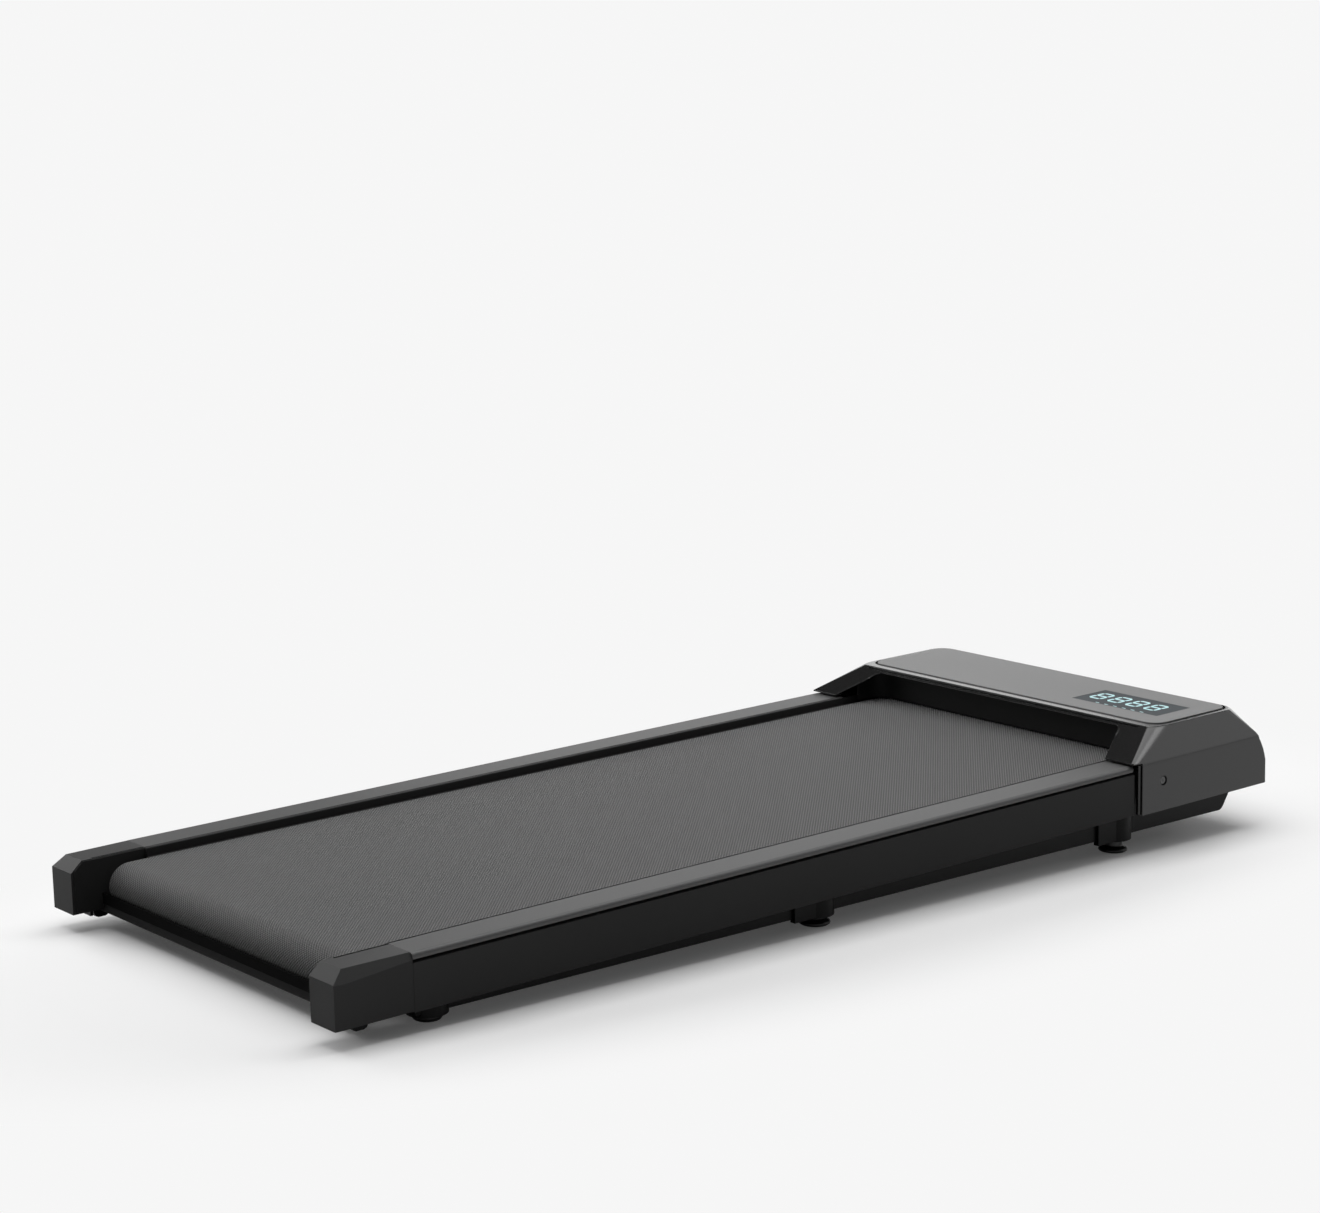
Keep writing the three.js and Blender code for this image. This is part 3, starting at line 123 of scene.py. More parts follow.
class Shader:
    """A new material or world, with a short call for each kind of node used here."""

    def __init__(self, name, kind="materials"):
        self.owner = getattr(bpy.data, kind).new(name)
        self.owner.use_nodes = True
        self.tree = self.owner.node_tree
        self.surface = self.tree.nodes.get("Principled BSDF")

    def node(self, kind, **settings):
        node = self.tree.nodes.new(kind)
        for key, value in settings.items():
            setattr(node, key, value)
        return node

    def feed(self, socket, value):
        if isinstance(value, bpy.types.NodeSocket):
            self.tree.links.new(value, socket)
        else:
            socket.default_value = value

    def place(self):
        return self.node("ShaderNodeTexCoord").outputs["Object"]

    def uv(self):
        return self.node("ShaderNodeTexCoord").outputs["UV"]

    def split(self, vector):
        node = self.node("ShaderNodeSeparateXYZ")
        self.feed(node.inputs[0], vector)
        return node.outputs

    def noise(self, vector, size, detail=2.0, stretch=(1, 1, 1)):
        mapping = self.node("ShaderNodeMapping")
        mapping.inputs["Scale"].default_value = [1 / s for s in stretch]
        self.feed(mapping.inputs["Vector"], vector)
        node = self.node("ShaderNodeTexNoise")
        self.feed(node.inputs["Vector"], mapping.outputs[0])
        node.inputs["Scale"].default_value = 1 / size
        node.inputs["Detail"].default_value = detail
        return node.outputs["Fac"]

    def math(self, operation, first, second=0.0):
        node = self.node("ShaderNodeMath", operation=operation)
        self.feed(node.inputs[0], first)
        self.feed(node.inputs[1], second)
        return node.outputs[0]

    def spread(self, value, low, high, source=(0.3, 0.7), curve="LINEAR"):
        node = self.node("ShaderNodeMapRange", interpolation_type=curve)
        self.feed(node.inputs["Value"], value)
        node.inputs["From Min"].default_value = source[0]
        node.inputs["From Max"].default_value = source[1]
        node.inputs["To Min"].default_value = low
        node.inputs["To Max"].default_value = high
        return node.outputs[0]

    def blend(self, factor, first, second):
        node = self.node("ShaderNodeMix", data_type="RGBA")
        self.feed(node.inputs["Factor"], factor)
        self.feed(node.inputs["A"], first)
        self.feed(node.inputs["B"], second)
        return node.outputs["Result"]

    def rounded(self, radius):
        """Normals that turn smoothly over each edge."""
        node = self.node("ShaderNodeBevel", samples=ROUNDING_SAMPLES)
        node.inputs["Radius"].default_value = radius
        return node.outputs[0]

    def bump(self, height, depth, normal=None):
        node = self.node("ShaderNodeBump")
        node.inputs["Distance"].default_value = depth
        self.feed(node.inputs["Height"], height)
        if normal is not None:
            self.feed(node.inputs["Normal"], normal)
        return node.outputs[0]

    def set(self, **values):
        """Feeds the surface's sockets, named in small letters with underscores."""
        for key, value in values.items():
            socket = key.replace("_", " ").title().replace("Ior", "IOR")
            self.feed(self.surface.inputs[socket], value)


def grey(level):
    return (level, level, level, 1)


# ---------------------------------------------------------------- materials

CLOUD_SIZE = 150 * MM  # of the slow changes of tone and gloss
CLOUD_TONE = 0.06
CLOUD_GLOSS = 0.015
EDGE_GLINT = 0.5 * MM  # radius over which edges catch the light
METAL_MARKS = 0.6 * MM
METAL_PATCHES = 20 * MM
METAL_TONE = 0.1
METAL_GLOSS = 0.06
METAL_RELIEF = 0.01 * MM
FIBRE_SIZE = 1.5 * MM
FIBRE_STRETCH = (1, 6, 0.4)
FIBRE_RELIEF = 0.05 * MM
CHIP_SIZE = 4 * MM
WEAVE_PITCH = 3.6 * MM
WEAVE_TONES = (0.075, 0.195)
WEAVE_CREST = 0.6  # height of the weave's waves that counts as full
WEAVE_RELIEF = 0.7 * MM
ACRYLIC_CLOUD = 30 * MM
LIGHT_CLOUD = 4 * MM


def moulded(name, level, roughness, specular, grain=0.5 * MM, relief=0.02 * MM):
    """Moulded plastic or paint: a fine grain, with slow changes of tone and gloss."""
    shader = Shader(name)
    place = shader.place()
    cloud = shader.noise(place, CLOUD_SIZE, detail=0)
    fine = shader.noise(place, grain, detail=1)
    tones = (grey(level * (1 - CLOUD_TONE)), grey(level * (1 + CLOUD_TONE)))
    gloss = (roughness - CLOUD_GLOSS, roughness + CLOUD_GLOSS)
    shader.set(
        base_color=shader.blend(cloud, *tones),
        roughness=shader.spread(cloud, *gloss, source=(0, 1)),
        specular_ior_level=specular,
        normal=shader.bump(fine, relief, shader.rounded(EDGE_GLINT)),
    )
    return shader.owner


def metal(name, level, roughness):
    """Bare metal with fine turning or rolling marks."""
    shader = Shader(name)
    place = shader.place()
    marks = shader.noise(place, METAL_MARKS, detail=3)
    patches = shader.noise(place, METAL_PATCHES)
    shader.set(
        base_color=shader.blend(patches, grey(level * (1 - METAL_TONE)), grey(level)),
        roughness=shader.spread(marks, roughness - METAL_GLOSS, roughness + METAL_GLOSS),
        metallic=1.0,
        normal=shader.bump(marks, METAL_RELIEF),
    )
    return shader.owner


def fibreboard():
    """Brown board with fibres that lie along the deck."""
    shader = Shader("deck_wood")
    fibres = shader.noise(shader.place(), FIBRE_SIZE, detail=4, stretch=FIBRE_STRETCH)
    shader.set(
        base_color=shader.blend(fibres, (0.16, 0.11, 0.065, 1), (0.27, 0.19, 0.12, 1)),
        roughness=0.7,
        normal=shader.bump(fibres, FIBRE_RELIEF),
    )
    return shader.owner


def circuit():
    """Green lacquer over a pattern of small squares."""
    shader = Shader("circuit_board")
    cells = shader.node("ShaderNodeTexVoronoi", feature="F1", distance="CHEBYCHEV")
    cells.inputs["Scale"].default_value = 1 / CHIP_SIZE
    shader.feed(cells.inputs["Vector"], shader.place())
    squares = cells.outputs["Distance"]
    shader.set(
        base_color=shader.blend(squares, (0.01, 0.09, 0.035, 1), (0.02, 0.16, 0.06, 1)),
        roughness=0.4,
    )
    return shader.owner


def belt_cover():
    """A dark belt cover with a fine dotted weave, drawn on the belt's own length and width."""
    shader = Shader("walking_belt")
    across, along = shader.split(shader.uv())[:2]
    turns = 2 * math.pi / WEAVE_PITCH
    columns = shader.math("COSINE", shader.math("MULTIPLY", across, turns))
    rows = shader.math("COSINE", shader.math("MULTIPLY", along, turns))
    waves = shader.math("MULTIPLY", columns, rows)
    weave = shader.spread(waves, 0, 1, source=(-WEAVE_CREST, WEAVE_CREST))
    dark, light = WEAVE_TONES
    shader.set(
        base_color=shader.blend(weave, grey(dark), grey(light)),
        roughness=0.62,
        specular_ior_level=0.03,
        normal=shader.bump(weave, WEAVE_RELIEF),
    )
    return shader.owner


def smoked_acrylic():
    """The dark grey window over the display."""
    shader = Shader("display_acrylic")
    cloud = shader.noise(shader.place(), ACRYLIC_CLOUD)
    shader.set(
        base_color=shader.blend(cloud, (0.038, 0.046, 0.052, 1), (0.044, 0.053, 0.059, 1)),
        roughness=0.45,
        specular_ior_level=0.05,
    )
    return shader.owner


def lit_digits():
    """Pale teal light from behind the display window, a little uneven."""
    shader = Shader("lit_digits")
    cloud = shader.noise(shader.place(), LIGHT_CLOUD)
    shader.set(
        base_color=grey(0.02),
        emission_color=shader.blend(cloud, (0.3, 0.62, 0.66, 1), (0.72, 0.95, 0.97, 1)),
        emission_strength=0.9,
        roughness=0.5,
    )
    return shader.owner


MOULDED = {  # tone, roughness and specular level, and then any grain and relief of their own
    "frame_steel": (0.006, 0.4, 0.12, 0.8 * MM, 0.03 * MM),
    "motor_can": (0.014, 0.3, 0.5),
    "foot_rail": (0.052, 0.5, 0.8),
    "side_trim": (0.071, 0.3, 0.04),
    "black_rubber": (0.006, 0.35, 0.5),
    # near-black colour of the strip that paints shade behind the belt's rear turn
    "matte_black": (0.005, 0.85, 0.04),
    # dark colour of the sheets that paint shade: the strips beside the belt and the plates over the rear caps'
    # inner faces
    "dark_strip": (0.03, 0.7, 0.1),
    "dull_steel": (0.034, 0.7, 0.08, 0.8 * MM, 0.03 * MM),
    "black_screw": (0.14, 0.3, 0.6),
    "hood_plastic": (0.005, 0.22, 0.5, 0.5 * MM, 0.006 * MM),
    "top_panel": (0.195, 0.5, 0.15),
    "black_plastic": (0.008, 0.5, 0.16),
}
MATERIALS = {name: moulded(name, *look) for name, look in MOULDED.items()}
MATERIALS |= {
    "bright_steel": metal("bright_steel", 0.5, 0.3),
    "cast_aluminium": metal("cast_aluminium", 0.45, 0.45),
    "deck_wood": fibreboard(),
    "circuit_board": circuit(),
    "walking_belt": belt_cover(),
    "display_acrylic": smoked_acrylic(),
    "lit_digits": lit_digits(),
}

SLOTS = {entry["node"]: entry["material_slot"] for entry in frame["record"]["subparts"]}


# ---------------------------------------------------------------- mesh helpers

SAME_POINT = 0.01 * MM
FLAT_ANGLE = math.radians(0.5)
FINE_STEPS = 48  # round the larger round pieces
EDGE_ROUNDING = {  # of the CAD nodes, by slot
    "frame_steel": 0.8 * MM,
    "foot_rail": 0.7 * MM,
    "side_trim": 0.6 * MM,
    "black_rubber": 0.5 * MM,
    "hood_plastic": 0.6 * MM,
    "top_panel": 0.4 * MM,
    "black_plastic": 0.4 * MM,
}
OTHER_ROUNDING = 0.2 * MM
OWN_LOOKS = {"cross_member_rear": "dull_steel"}


def smoothing():
    """A node group that shades every face smooth, for use as a modifier."""
    group = bpy.data.node_groups.new("smooth_faces", "GeometryNodeTree")
    for way in ("INPUT", "OUTPUT"):
        group.interface.new_socket("Geometry", in_out=way, socket_type="NodeSocketGeometry")
    source = group.nodes.new("NodeGroupInput")
    smooth = group.nodes.new("GeometryNodeSetShadeSmooth")
    result = group.nodes.new("NodeGroupOutput")
    group.links.new(source.outputs[0], smooth.inputs["Geometry"])
    group.links.new(smooth.outputs[0], result.inputs[0])
    return group


SMOOTH_FACES = smoothing()


def keep_facets(piece, angle=22):
    """Shades round faces round, and keeps each edge sharper than the angle as an edge."""
    piece.data.shade_smooth()
    piece.data.set_sharp_from_angle(angle=math.radians(angle))
    normals = piece.modifiers.new("normals", "WEIGHTED_NORMAL")
    normals.keep_sharp = True


def soften(piece, width, segments=2, angle=30, from_cad=False):
    """Rounds a piece's edges, and shades its flat faces flat and its round ones round."""
    if from_cad:
        weld = piece.modifiers.new("weld", "WELD")
        weld.merge_threshold = SAME_POINT
        planes = piece.modifiers.new("planes", "DECIMATE")
        planes.decimate_type = "DISSOLVE"
        planes.angle_limit = FLAT_ANGLE
    bevel = piece.modifiers.new("bevel", "BEVEL")
    bevel.width = width
    bevel.segments = segments
    bevel.limit_method = "ANGLE"
    bevel.angle_limit = math.radians(angle)
    bevel.use_clamp_overlap = True
    shading = piece.modifiers.new("shading", "NODES")
    shading.node_group = SMOOTH_FACES
    normals = piece.modifiers.new("normals", "WEIGHTED_NORMAL")
    normals.keep_sharp = False


def paint(piece, slot):
    piece.data.materials.clear()
    piece.data.materials.append(MATERIALS[slot])


def dress_cad_nodes():
    """Gives every CAD node its slot's material and rounded edges."""
    for name, node in frame["nodes"].items():
        slot = SLOTS[name]
        paint(node, OWN_LOOKS.get(name, slot))
        soften(node, EDGE_ROUNDING.get(slot, OTHER_ROUNDING), from_cad=True)


dress_cad_nodes()


def add_piece(name, mesh, slot, *nodes, material=None):
    """Places a mesh drawn in the deck's frame on the chassis, instead of the named CAD nodes."""
    piece = bpy.data.objects.new(name, mesh)
    bpy.context.scene.collection.objects.link(piece)
    piece.matrix_world = DECK
    paint(piece, material or slot)
    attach(piece, "chassis")
    if nodes:
        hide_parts(*nodes)
    return piece


def to_mesh(work, name):
    bmesh.ops.recalc_face_normals(work, faces=work.faces)
    mesh = bpy.data.meshes.new(name)
    work.to_mesh(mesh)
    work.free()
    return mesh


def skin(rings, name):
    """A closed surface through outlines of equally many points."""
    work = bmesh.new()
    loops = [[work.verts.new(point) for point in ring] for ring in rings]
    count = len(rings[0])
    for lower, upper in zip(loops, loops[1:]):
        for i in range(count):
            after = (i + 1) % count
            work.faces.new((lower[i], lower[after], upper[after], upper[i]))
    work.faces.new(list(reversed(loops[0])))
    work.faces.new(loops[-1])
    return to_mesh(work, name)


def hull(points, name):
    """The smallest solid with flat faces round all the points."""
    work = bmesh.new()
    for point in points:
        work.verts.new(point)
    result = bmesh.ops.convex_hull(work, input=work.verts)
    bmesh.ops.delete(work, geom=result["geom_interior"], context="VERTS")
    bmesh.ops.dissolve_limit(work, angle_limit=FLAT_ANGLE, verts=work.verts, edges=work.edges)
    return to_mesh(work, name)


def arc(center, radii, start, end, steps):
    """Points of an elliptic arc, with its angles in quarter turns."""
    points = []
    for step in range(steps + 1):
        angle = math.pi / 2 * (start + (end - start) * step / steps)
        points.append((center[0] + radii[0] * math.cos(angle), center[1] + radii[1] * math.sin(angle)))
    return points


def prism(axis, outline, ends, name):
    """A solid between two places along an axis, with its outline in the other two coordinates."""
    place = "xyz".index(axis)
    rings = [[(*point[:place], end, *point[place:]) for point in outline] for end in ends]
    return skin(rings, name)


def box_mesh(low, high, name="box"):
    """A box between two corners of the deck's frame."""
    return hull(list(itertools.product(*zip(low, high))), name)


def merged(meshes, name):
    """One mesh of several solids."""
    work = bmesh.new()
    for mesh in meshes:
        work.from_mesh(mesh)
    return to_mesh(work, name)


def cad_mesh(node):
    """A copy of a CAD node's mesh, drawn in the deck's frame."""
    mesh = frame["nodes"][node].data.copy()
    mesh.transform(DECK.inverted())
    return mesh


def round_bar(axis, center, radius, low, high, name="bar", steps=32):
    """A round bar along an axis ("x", "y" or "z"), with its centre in the other two coordinates."""
    circle = arc(center, (radius, radius), 0, 4, steps)[:-1]
    return prism(axis, circle, (low, high), name)


def rounded_box(low, high, corners, steps):
    """A level outline from the rear right, with radii (x, y) for its rear and its front corners."""
    (rear_x, rear_y), (front_x, front_y) = corners
    return (
        arc((high[0] - rear_x, low[1] + rear_y), (rear_x, rear_y), -1, 0, steps)
        + arc((high[0] - front_x, high[1] - front_y), (front_x, front_y), 0, 1, steps)
        + arc((low[0] + front_x, high[1] - front_y), (front_x, front_y), 1, 2, steps)
        + arc((low[0] + rear_x, low[1] + rear_y), (rear_x, rear_y), 2, 3, steps)
    )


def carve(mesh, cutters):
    """Cuts meshes out of a mesh, and returns the new mesh."""
    scene = bpy.context.scene.collection
    base = bpy.data.objects.new("carved", mesh)
    scene.objects.link(base)
    tools = []
    for cutter in cutters:
        tool = bpy.data.objects.new("cutter", cutter)
        scene.objects.link(tool)
        tools.append(tool)
        modifier = base.modifiers.new("cut", "BOOLEAN")
        modifier.operation = "DIFFERENCE"
        modifier.solver = "EXACT"
        modifier.object = tool
    bpy.context.view_layer.update()
    evaluated = base.evaluated_get(bpy.context.evaluated_depsgraph_get())
    result = bpy.data.meshes.new_from_object(evaluated)
    result.name = mesh.name
    for item in [base, *tools]:
        bpy.data.objects.remove(item)
    return result


# ---------------------------------------------------------------- walking belt

BELT_THICKNESS = 2 * MM
BELT_END_STEPS = 40
BELT_ROUND = 0.5 * MM


def belt_line(radius):
    """Points round the two rollers in (y, z), from the top of the front one."""
    low, high = deck_box("running_belt")
    outer = (high.z - low.z) / 2
    z = (high.z + low.z) / 2
    points = []
    for y, start in ((high.y - outer, math.pi / 2), (low.y + outer, -math.pi / 2)):
        for step in range(BELT_END_STEPS + 1):
            angle = start - math.pi * step / BELT_END_STEPS
            points.append((y + radius * math.cos(angle), z + radius * math.sin(angle)))
    return points


def run_lengths(line):
    """How far along a closed line each of its points lies, with the whole length at the end."""
    lengths = [0.0]
    for here, there in zip(line, line[1:] + line[:1]):
        lengths.append(lengths[-1] + math.dist(here, there))
    return lengths


def make_belt():
    """A closed belt, whose width and length are kept as the weave's coordinates."""
    low, high = deck_box("running_belt")
    radius = (high.z - low.z) / 2
    outer = belt_line(radius)
    inner = belt_line(radius - BELT_THICKNESS)
    lengths = run_lengths(outer)
    work = bmesh.new()
    weave = work.loops.layers.uv.new("along_belt")
    corners = ((low.x, outer), (high.x, outer), (high.x, inner), (low.x, inner))
    rings = [[work.verts.new((x, y, z)) for y, z in line] for x, line in corners]
    for ring, other in zip(rings, rings[1:] + rings[:1]):
        for i, vertex in enumerate(ring):
            after = (i + 1) % len(ring)
            face = work.faces.new((vertex, ring[after], other[after], other[i]))
            for loop, length in zip(face.loops, (lengths[i], lengths[i + 1], lengths[i + 1], lengths[i])):
                loop[weave].uv = (loop.vert.co.x, length)
    mesh = to_mesh(work, "belt_surface")
    piece = add_piece("belt_surface", mesh, "walking_belt", "running_belt")
    soften(piece, BELT_ROUND, angle=60)


make_belt()


# ---------------------------------------------------------------- trim beside the belt

SIDES = {"right": 1, "left": -1}
CUT_PAST = 2.5 * MM  # how far a cutter runs on past the face that it opens
RAIL_EDGE_BOTTOM = 66.2 * MM
RAIL_SKIN = 2.2 * MM
RAIL_SHOULDER = 4.8 * MM
RAIL_EASE = 0.6 * MM
RAIL_GROOVE_START = 1.0 * MM  # from the rail's inner edge
RAIL_GROOVE_WIDTH = 2.4 * MM
RAIL_GROOVE_DEPTH = 2.2 * MM
RAIL_UNDER = 3.4 * MM
RAIL_NOSE = 9 * MM
SLIDING_GAP = 0.3 * MM
STRIP_INSIDE = 1.0 * MM
STRIP_CLEARANCE = 0.1 * MM
STRIP_HEIGHT = 0.6 * MM
CAP_CHAMFER = (12.4 * MM, 10.9 * MM)  # along and down
CAP_BEVEL_REAR = (6.5 * MM, 12 * MM)  # inwards and down
CAP_BEVEL_FRONT = (4.5 * MM, 6.3 * MM)
CAP_POINT = (0.4 * MM, 0.6 * MM)
CAP_WALL = 2.5 * MM
CAP_GROOVE_REAR = 24 * MM  # of the groove that runs on into the rail's
CAP_GROOVE_START = 0.6 * MM
PANEL_OUTER = 249.8 * MM
PANEL_GAP = 0.1 * MM
PANEL_ROUND = 1.0 * MM
# Sheets that paint shade: a near-black strip behind the belt's rear turn and dark plates over the rear caps' inner
# faces.
SHADE_STRIP_TOP = 36.0 * MM
SHADE_STRIP_REAR = 32.0 * MM
SHADE_SHEET_THICKNESS = 1.5 * MM
SHADE_STRIP_OVERLAP = 2.5 * MM
SHADE_PLATE_DROP = 0.8 * MM  # of the plates, below the caps' tops
SHADE_PLATE_INSET = 3 * MM


def ends_across(side, inner, outer):
    """The places of a piece's two faces across the machine, lowest first, for one side."""
    return sorted((side * inner, side * outer))


def side_box(side, low, high, name="box"):
    """A box that is given for the right side of the machine, on either side."""
    ends = ends_across(side, low[0], high[0])
    return box_mesh((ends[0], *low[1:]), (ends[1], *high[1:]), name)


def swept(profiles, side, name):
    """A skin through (x, z) profiles at their places along the deck, for one side of the machine."""
    return skin([[(side * x, y, z) for x, z in profile] for y, profile in profiles], name)


def rail_profile(low, high, foot):
    """A rail in (x, z): a thin skin with a groove beside the belt and a round outer shoulder."""
    inner = low.x
    groove = inner + RAIL_GROOVE_START
    groove_end = groove + RAIL_GROOVE_WIDTH
    center = (high.x - RAIL_SHOULDER, high.z - RAIL_SHOULDER)
    shoulder = arc(center, (RAIL_SHOULDER, RAIL_SHOULDER), 1, 0, steps=7)
    return [
        (inner, foot),
        (inner, high.z - RAIL_EASE),
        (inner + RAIL_EASE / 2, high.z),
        (groove, high.z),
        (groove, high.z - RAIL_GROOVE_DEPTH),
        (groove_end, high.z - RAIL_GROOVE_DEPTH),
        (groove_end, high.z),
        *shoulder,
        (high.x, RAIL_EDGE_BOTTOM),
        (high.x - RAIL_SKIN, RAIL_EDGE_BOTTOM),
        (high.x - RAIL_SKIN, high.z - RAIL_SHOULDER - RAIL_SKIN / 2),
        (high.x - RAIL_SHOULDER, high.z - RAIL_UNDER),
        (inner + RAIL_SKIN, high.z - RAIL_UNDER),
        (inner + RAIL_SKIN, foot),
    ]


def make_rail(side_name, side):
    """A foot rail, whose front end is drawn in round."""
    low, high = deck_box("foot_rail_right")
    foot = deck_box("deck_board")[1].z + SLIDING_GAP
    profile = rail_profile(low, high, foot)
    middle = (low.x + high.x) / 2
    profiles = [(low.y, profile)]
    for y_share, x_share in arc((0, 0), (1, 1), 1, 0, steps=8):
        y = high.y - RAIL_NOSE + RAIL_NOSE * y_share
        inset = RAIL_NOSE * (1 - x_share)
        scale = 1 - inset / (high.x - middle)
        narrowed = [(x if x < middle else middle + (x - middle) * scale, z) for x, z in profile]
        profiles.append((y, narrowed))
    mesh = swept(profiles, side, "rail")
    node = f"foot_rail_{side_name}"
    piece = add_piece(f"foot_rail_cover_{side_name}", mesh, "foot_rail", node)
    keep_facets(piece)


def make_gap_shade_strip(side_name, side):
    """Painted shade: a dark strip along the belt, which lies on the deck board in the gap beside the belt and
    stands against the rail's inner face.
    """
    rail_low, rail_high = deck_box("foot_rail_right")
    board_low, board_high = deck_box("deck_board")
    inner = deck_box("running_belt")[1].x + STRIP_INSIDE
    outer = rail_low.x - STRIP_CLEARANCE
    foot = board_high.z + SLIDING_GAP / 2
    top = rail_high.z - STRIP_INSIDE
    profile = [
        (inner, foot),
        (outer, foot),
        (outer, top),
        (outer - STRIP_INSIDE, top),
        (outer - STRIP_INSIDE, foot + STRIP_HEIGHT),
        (inner, foot + STRIP_HEIGHT),
    ]
    mesh = swept([(board_low.y, profile), (board_high.y, profile)], side, "strip")
    add_piece(f"gap_shade_strip_{side_name}", mesh, "black_rubber", material="dark_strip")


def cap_section(y, top, bevel):
    """A rear cap's outline in (x, z) at one place along the deck."""
    low, high = deck_box("rear_cap_right")
    inset, drop = bevel
    outline = [(low.x, low.z), (high.x, low.z), (high.x, top - drop), (high.x - inset, top), (low.x, top)]
    return y, outline


def make_cap(side_name, side):
    """A rear cap with its chamfer and bevel, hollow below, open where the rear angle runs through."""
    low, high = deck_box("rear_cap_right")
    along, down = CAP_CHAMFER
    sections = [
        cap_section(low.y, high.z - down, CAP_POINT),
        cap_section(low.y + along, high.z, CAP_BEVEL_REAR),
        cap_section(high.y, high.z, CAP_BEVEL_FRONT),
    ]
    under = low.z - CUT_PAST
    front = high.y + CUT_PAST
    hollow = side_box(
        side,
        (low.x + CAP_WALL, low.y + 2 * CAP_WALL, under),
        (high.x - CAP_WALL, front, high.z - 2 * down),
    )
    angle_low, angle_high = deck_box("cross_member_rear")
    opening = side_box(
        side,
        (low.x - CUT_PAST, angle_low.y - SLIDING_GAP, under),
        (low.x + 2 * CAP_WALL, front, angle_high.z + CAP_WALL),
    )
    groove = low.x + CAP_GROOVE_START
    slot = side_box(
        side,
        (groove, low.y + CAP_GROOVE_REAR, high.z - RAIL_GROOVE_DEPTH),
        (groove + RAIL_GROOVE_WIDTH, front, high.z + CUT_PAST),
    )
    mesh = carve(swept(sections, side, "cap"), [hollow, opening, slot])
    piece = add_piece(f"cap_cover_{side_name}", mesh, "side_trim", f"rear_cap_{side_name}")
    keep_facets(piece)


def make_side_panel(side_name, side):
    """The plain panel between the rear cap and the hood."""
    low, high = deck_box("side_panel_right")
    rear = deck_box("rear_cap_right")[1].y + PANEL_GAP
    mesh = side_box(side, (low.x, rear, low.z), (PANEL_OUTER, high.y, high.z))
    piece = add_piece(f"side_cover_{side_name}", mesh, "side_trim", f"side_panel_{side_name}")
    soften(piece, PANEL_ROUND, segments=3)


def make_shade_sheets():
    """Painted shade: a near-black strip behind the belt's rear turn, and a dark plate beside each end of the rear
    roller, over each rear cap's inner face.
    """
    angle_top = deck_box("cross_member_rear")[1].z
    low, high = deck_box("rear_cap_right")
    half = low.x - SLIDING_GAP
    strip = box_mesh(
        (-half, SHADE_STRIP_REAR, angle_top - SHADE_STRIP_OVERLAP),
        (half, SHADE_STRIP_REAR + SHADE_SHEET_THICKNESS, SHADE_STRIP_TOP),
    )
    along, down = CAP_CHAMFER
    top = high.z - SHADE_PLATE_DROP
    foot = low.z + SHADE_PLATE_DROP
    rear = low.y + SHADE_PLATE_INSET
    outline = [
        (rear, foot),
        (rear, top - down + SHADE_PLATE_INSET * down / along),
        (low.y + along, top),
        (high.y, top),
        (high.y, angle_top),
        (SHADE_STRIP_REAR, angle_top),
        (SHADE_STRIP_REAR, foot),
    ]
    plates = []
    for side in SIDES.values():
        ends = ends_across(side, half - SHADE_SHEET_THICKNESS, half)
        plates.append(prism("x", outline, ends, "plate"))
    mesh = merged(plates, "shade_plate_meshes")
    add_piece("cap_shade_plates", mesh, "black_rubber", material="dark_strip")
    add_piece("belt_shade_strip", strip, "black_rubber", material="matte_black")


for side_name, side in SIDES.items():
    make_rail(side_name, side)
    make_gap_shade_strip(side_name, side)
    make_cap(side_name, side)
    make_side_panel(side_name, side)
make_shade_sheets()


# ---------------------------------------------------------------- side beams and foot brackets

BEAM_NOTCH_FRONT = 93 * MM  # along the deck, just behind the rear foot
BEAM_NOTCH_TOP = 13.5 * MM
BEAM_NOTCH_SLOPE = 5 * MM
BEAM_ROUND = 0.5 * MM
TAIL_TAB = (  # (y, z) round the tab under the beam's tail
    (28 * MM, BEAM_NOTCH_TOP),
    (30 * MM, 9.4 * MM),
    (33 * MM, 8.0 * MM),
    (41 * MM, 8.0 * MM),
    (44 * MM, 9.4 * MM),
    (46 * MM, BEAM_NOTCH_TOP),
    (46 * MM, 17 * MM),
    (28 * MM, 17 * MM),
)
TAIL_TAB_WIDTH = 9 * MM
FLANGE_REACH = 40 * MM
FLANGE_THICKNESS = 3.5 * MM
FLANGE_LIFT = 1 * MM  # above the foot of its bracket
BRACKET_ROUND = 0.4 * MM
FOOT_PROFILE = (  # (radius, height) up the foot
    (10.8 * MM, 0.0),
    (13.8 * MM, 0.5 * MM),
    (15.3 * MM, 1.5 * MM),
    (15.8 * MM, 2.8 * MM),
    (15.3 * MM, 4.1 * MM),
    (13.8 * MM, 5.2 * MM),
    (11.4 * MM, 5.9 * MM),
    (10.2 * MM, 6.8 * MM),
    (9.8 * MM, 8.0 * MM),
)


def beam_outer():
    return deck_box("side_beam_right")[1].x


def make_beam(side_name, side):
    """The CAD beam, cut away below from its tail to the rear foot, with a tab under the tail."""
    node = f"side_beam_{side_name}"
    low, high = deck_box(node)
    rear = low.y - CUT_PAST
    profile = [
        (rear, 0),
        (BEAM_NOTCH_FRONT + BEAM_NOTCH_SLOPE, 0),
        (BEAM_NOTCH_FRONT, BEAM_NOTCH_TOP),
        (rear, BEAM_NOTCH_TOP),
    ]
    notch = prism("x", profile, (low.x - CUT_PAST, high.x + CUT_PAST), "notch")
    outer = beam_outer()
    tab = prism("x", TAIL_TAB, ends_across(side, outer - TAIL_TAB_WIDTH, outer), "tab")
    mesh = merged([carve(cad_mesh(node), [notch]), tab], "beam")
    piece = add_piece(f"beam_cover_{side_name}", mesh, "frame_steel", node)
    soften(piece, BEAM_ROUND)


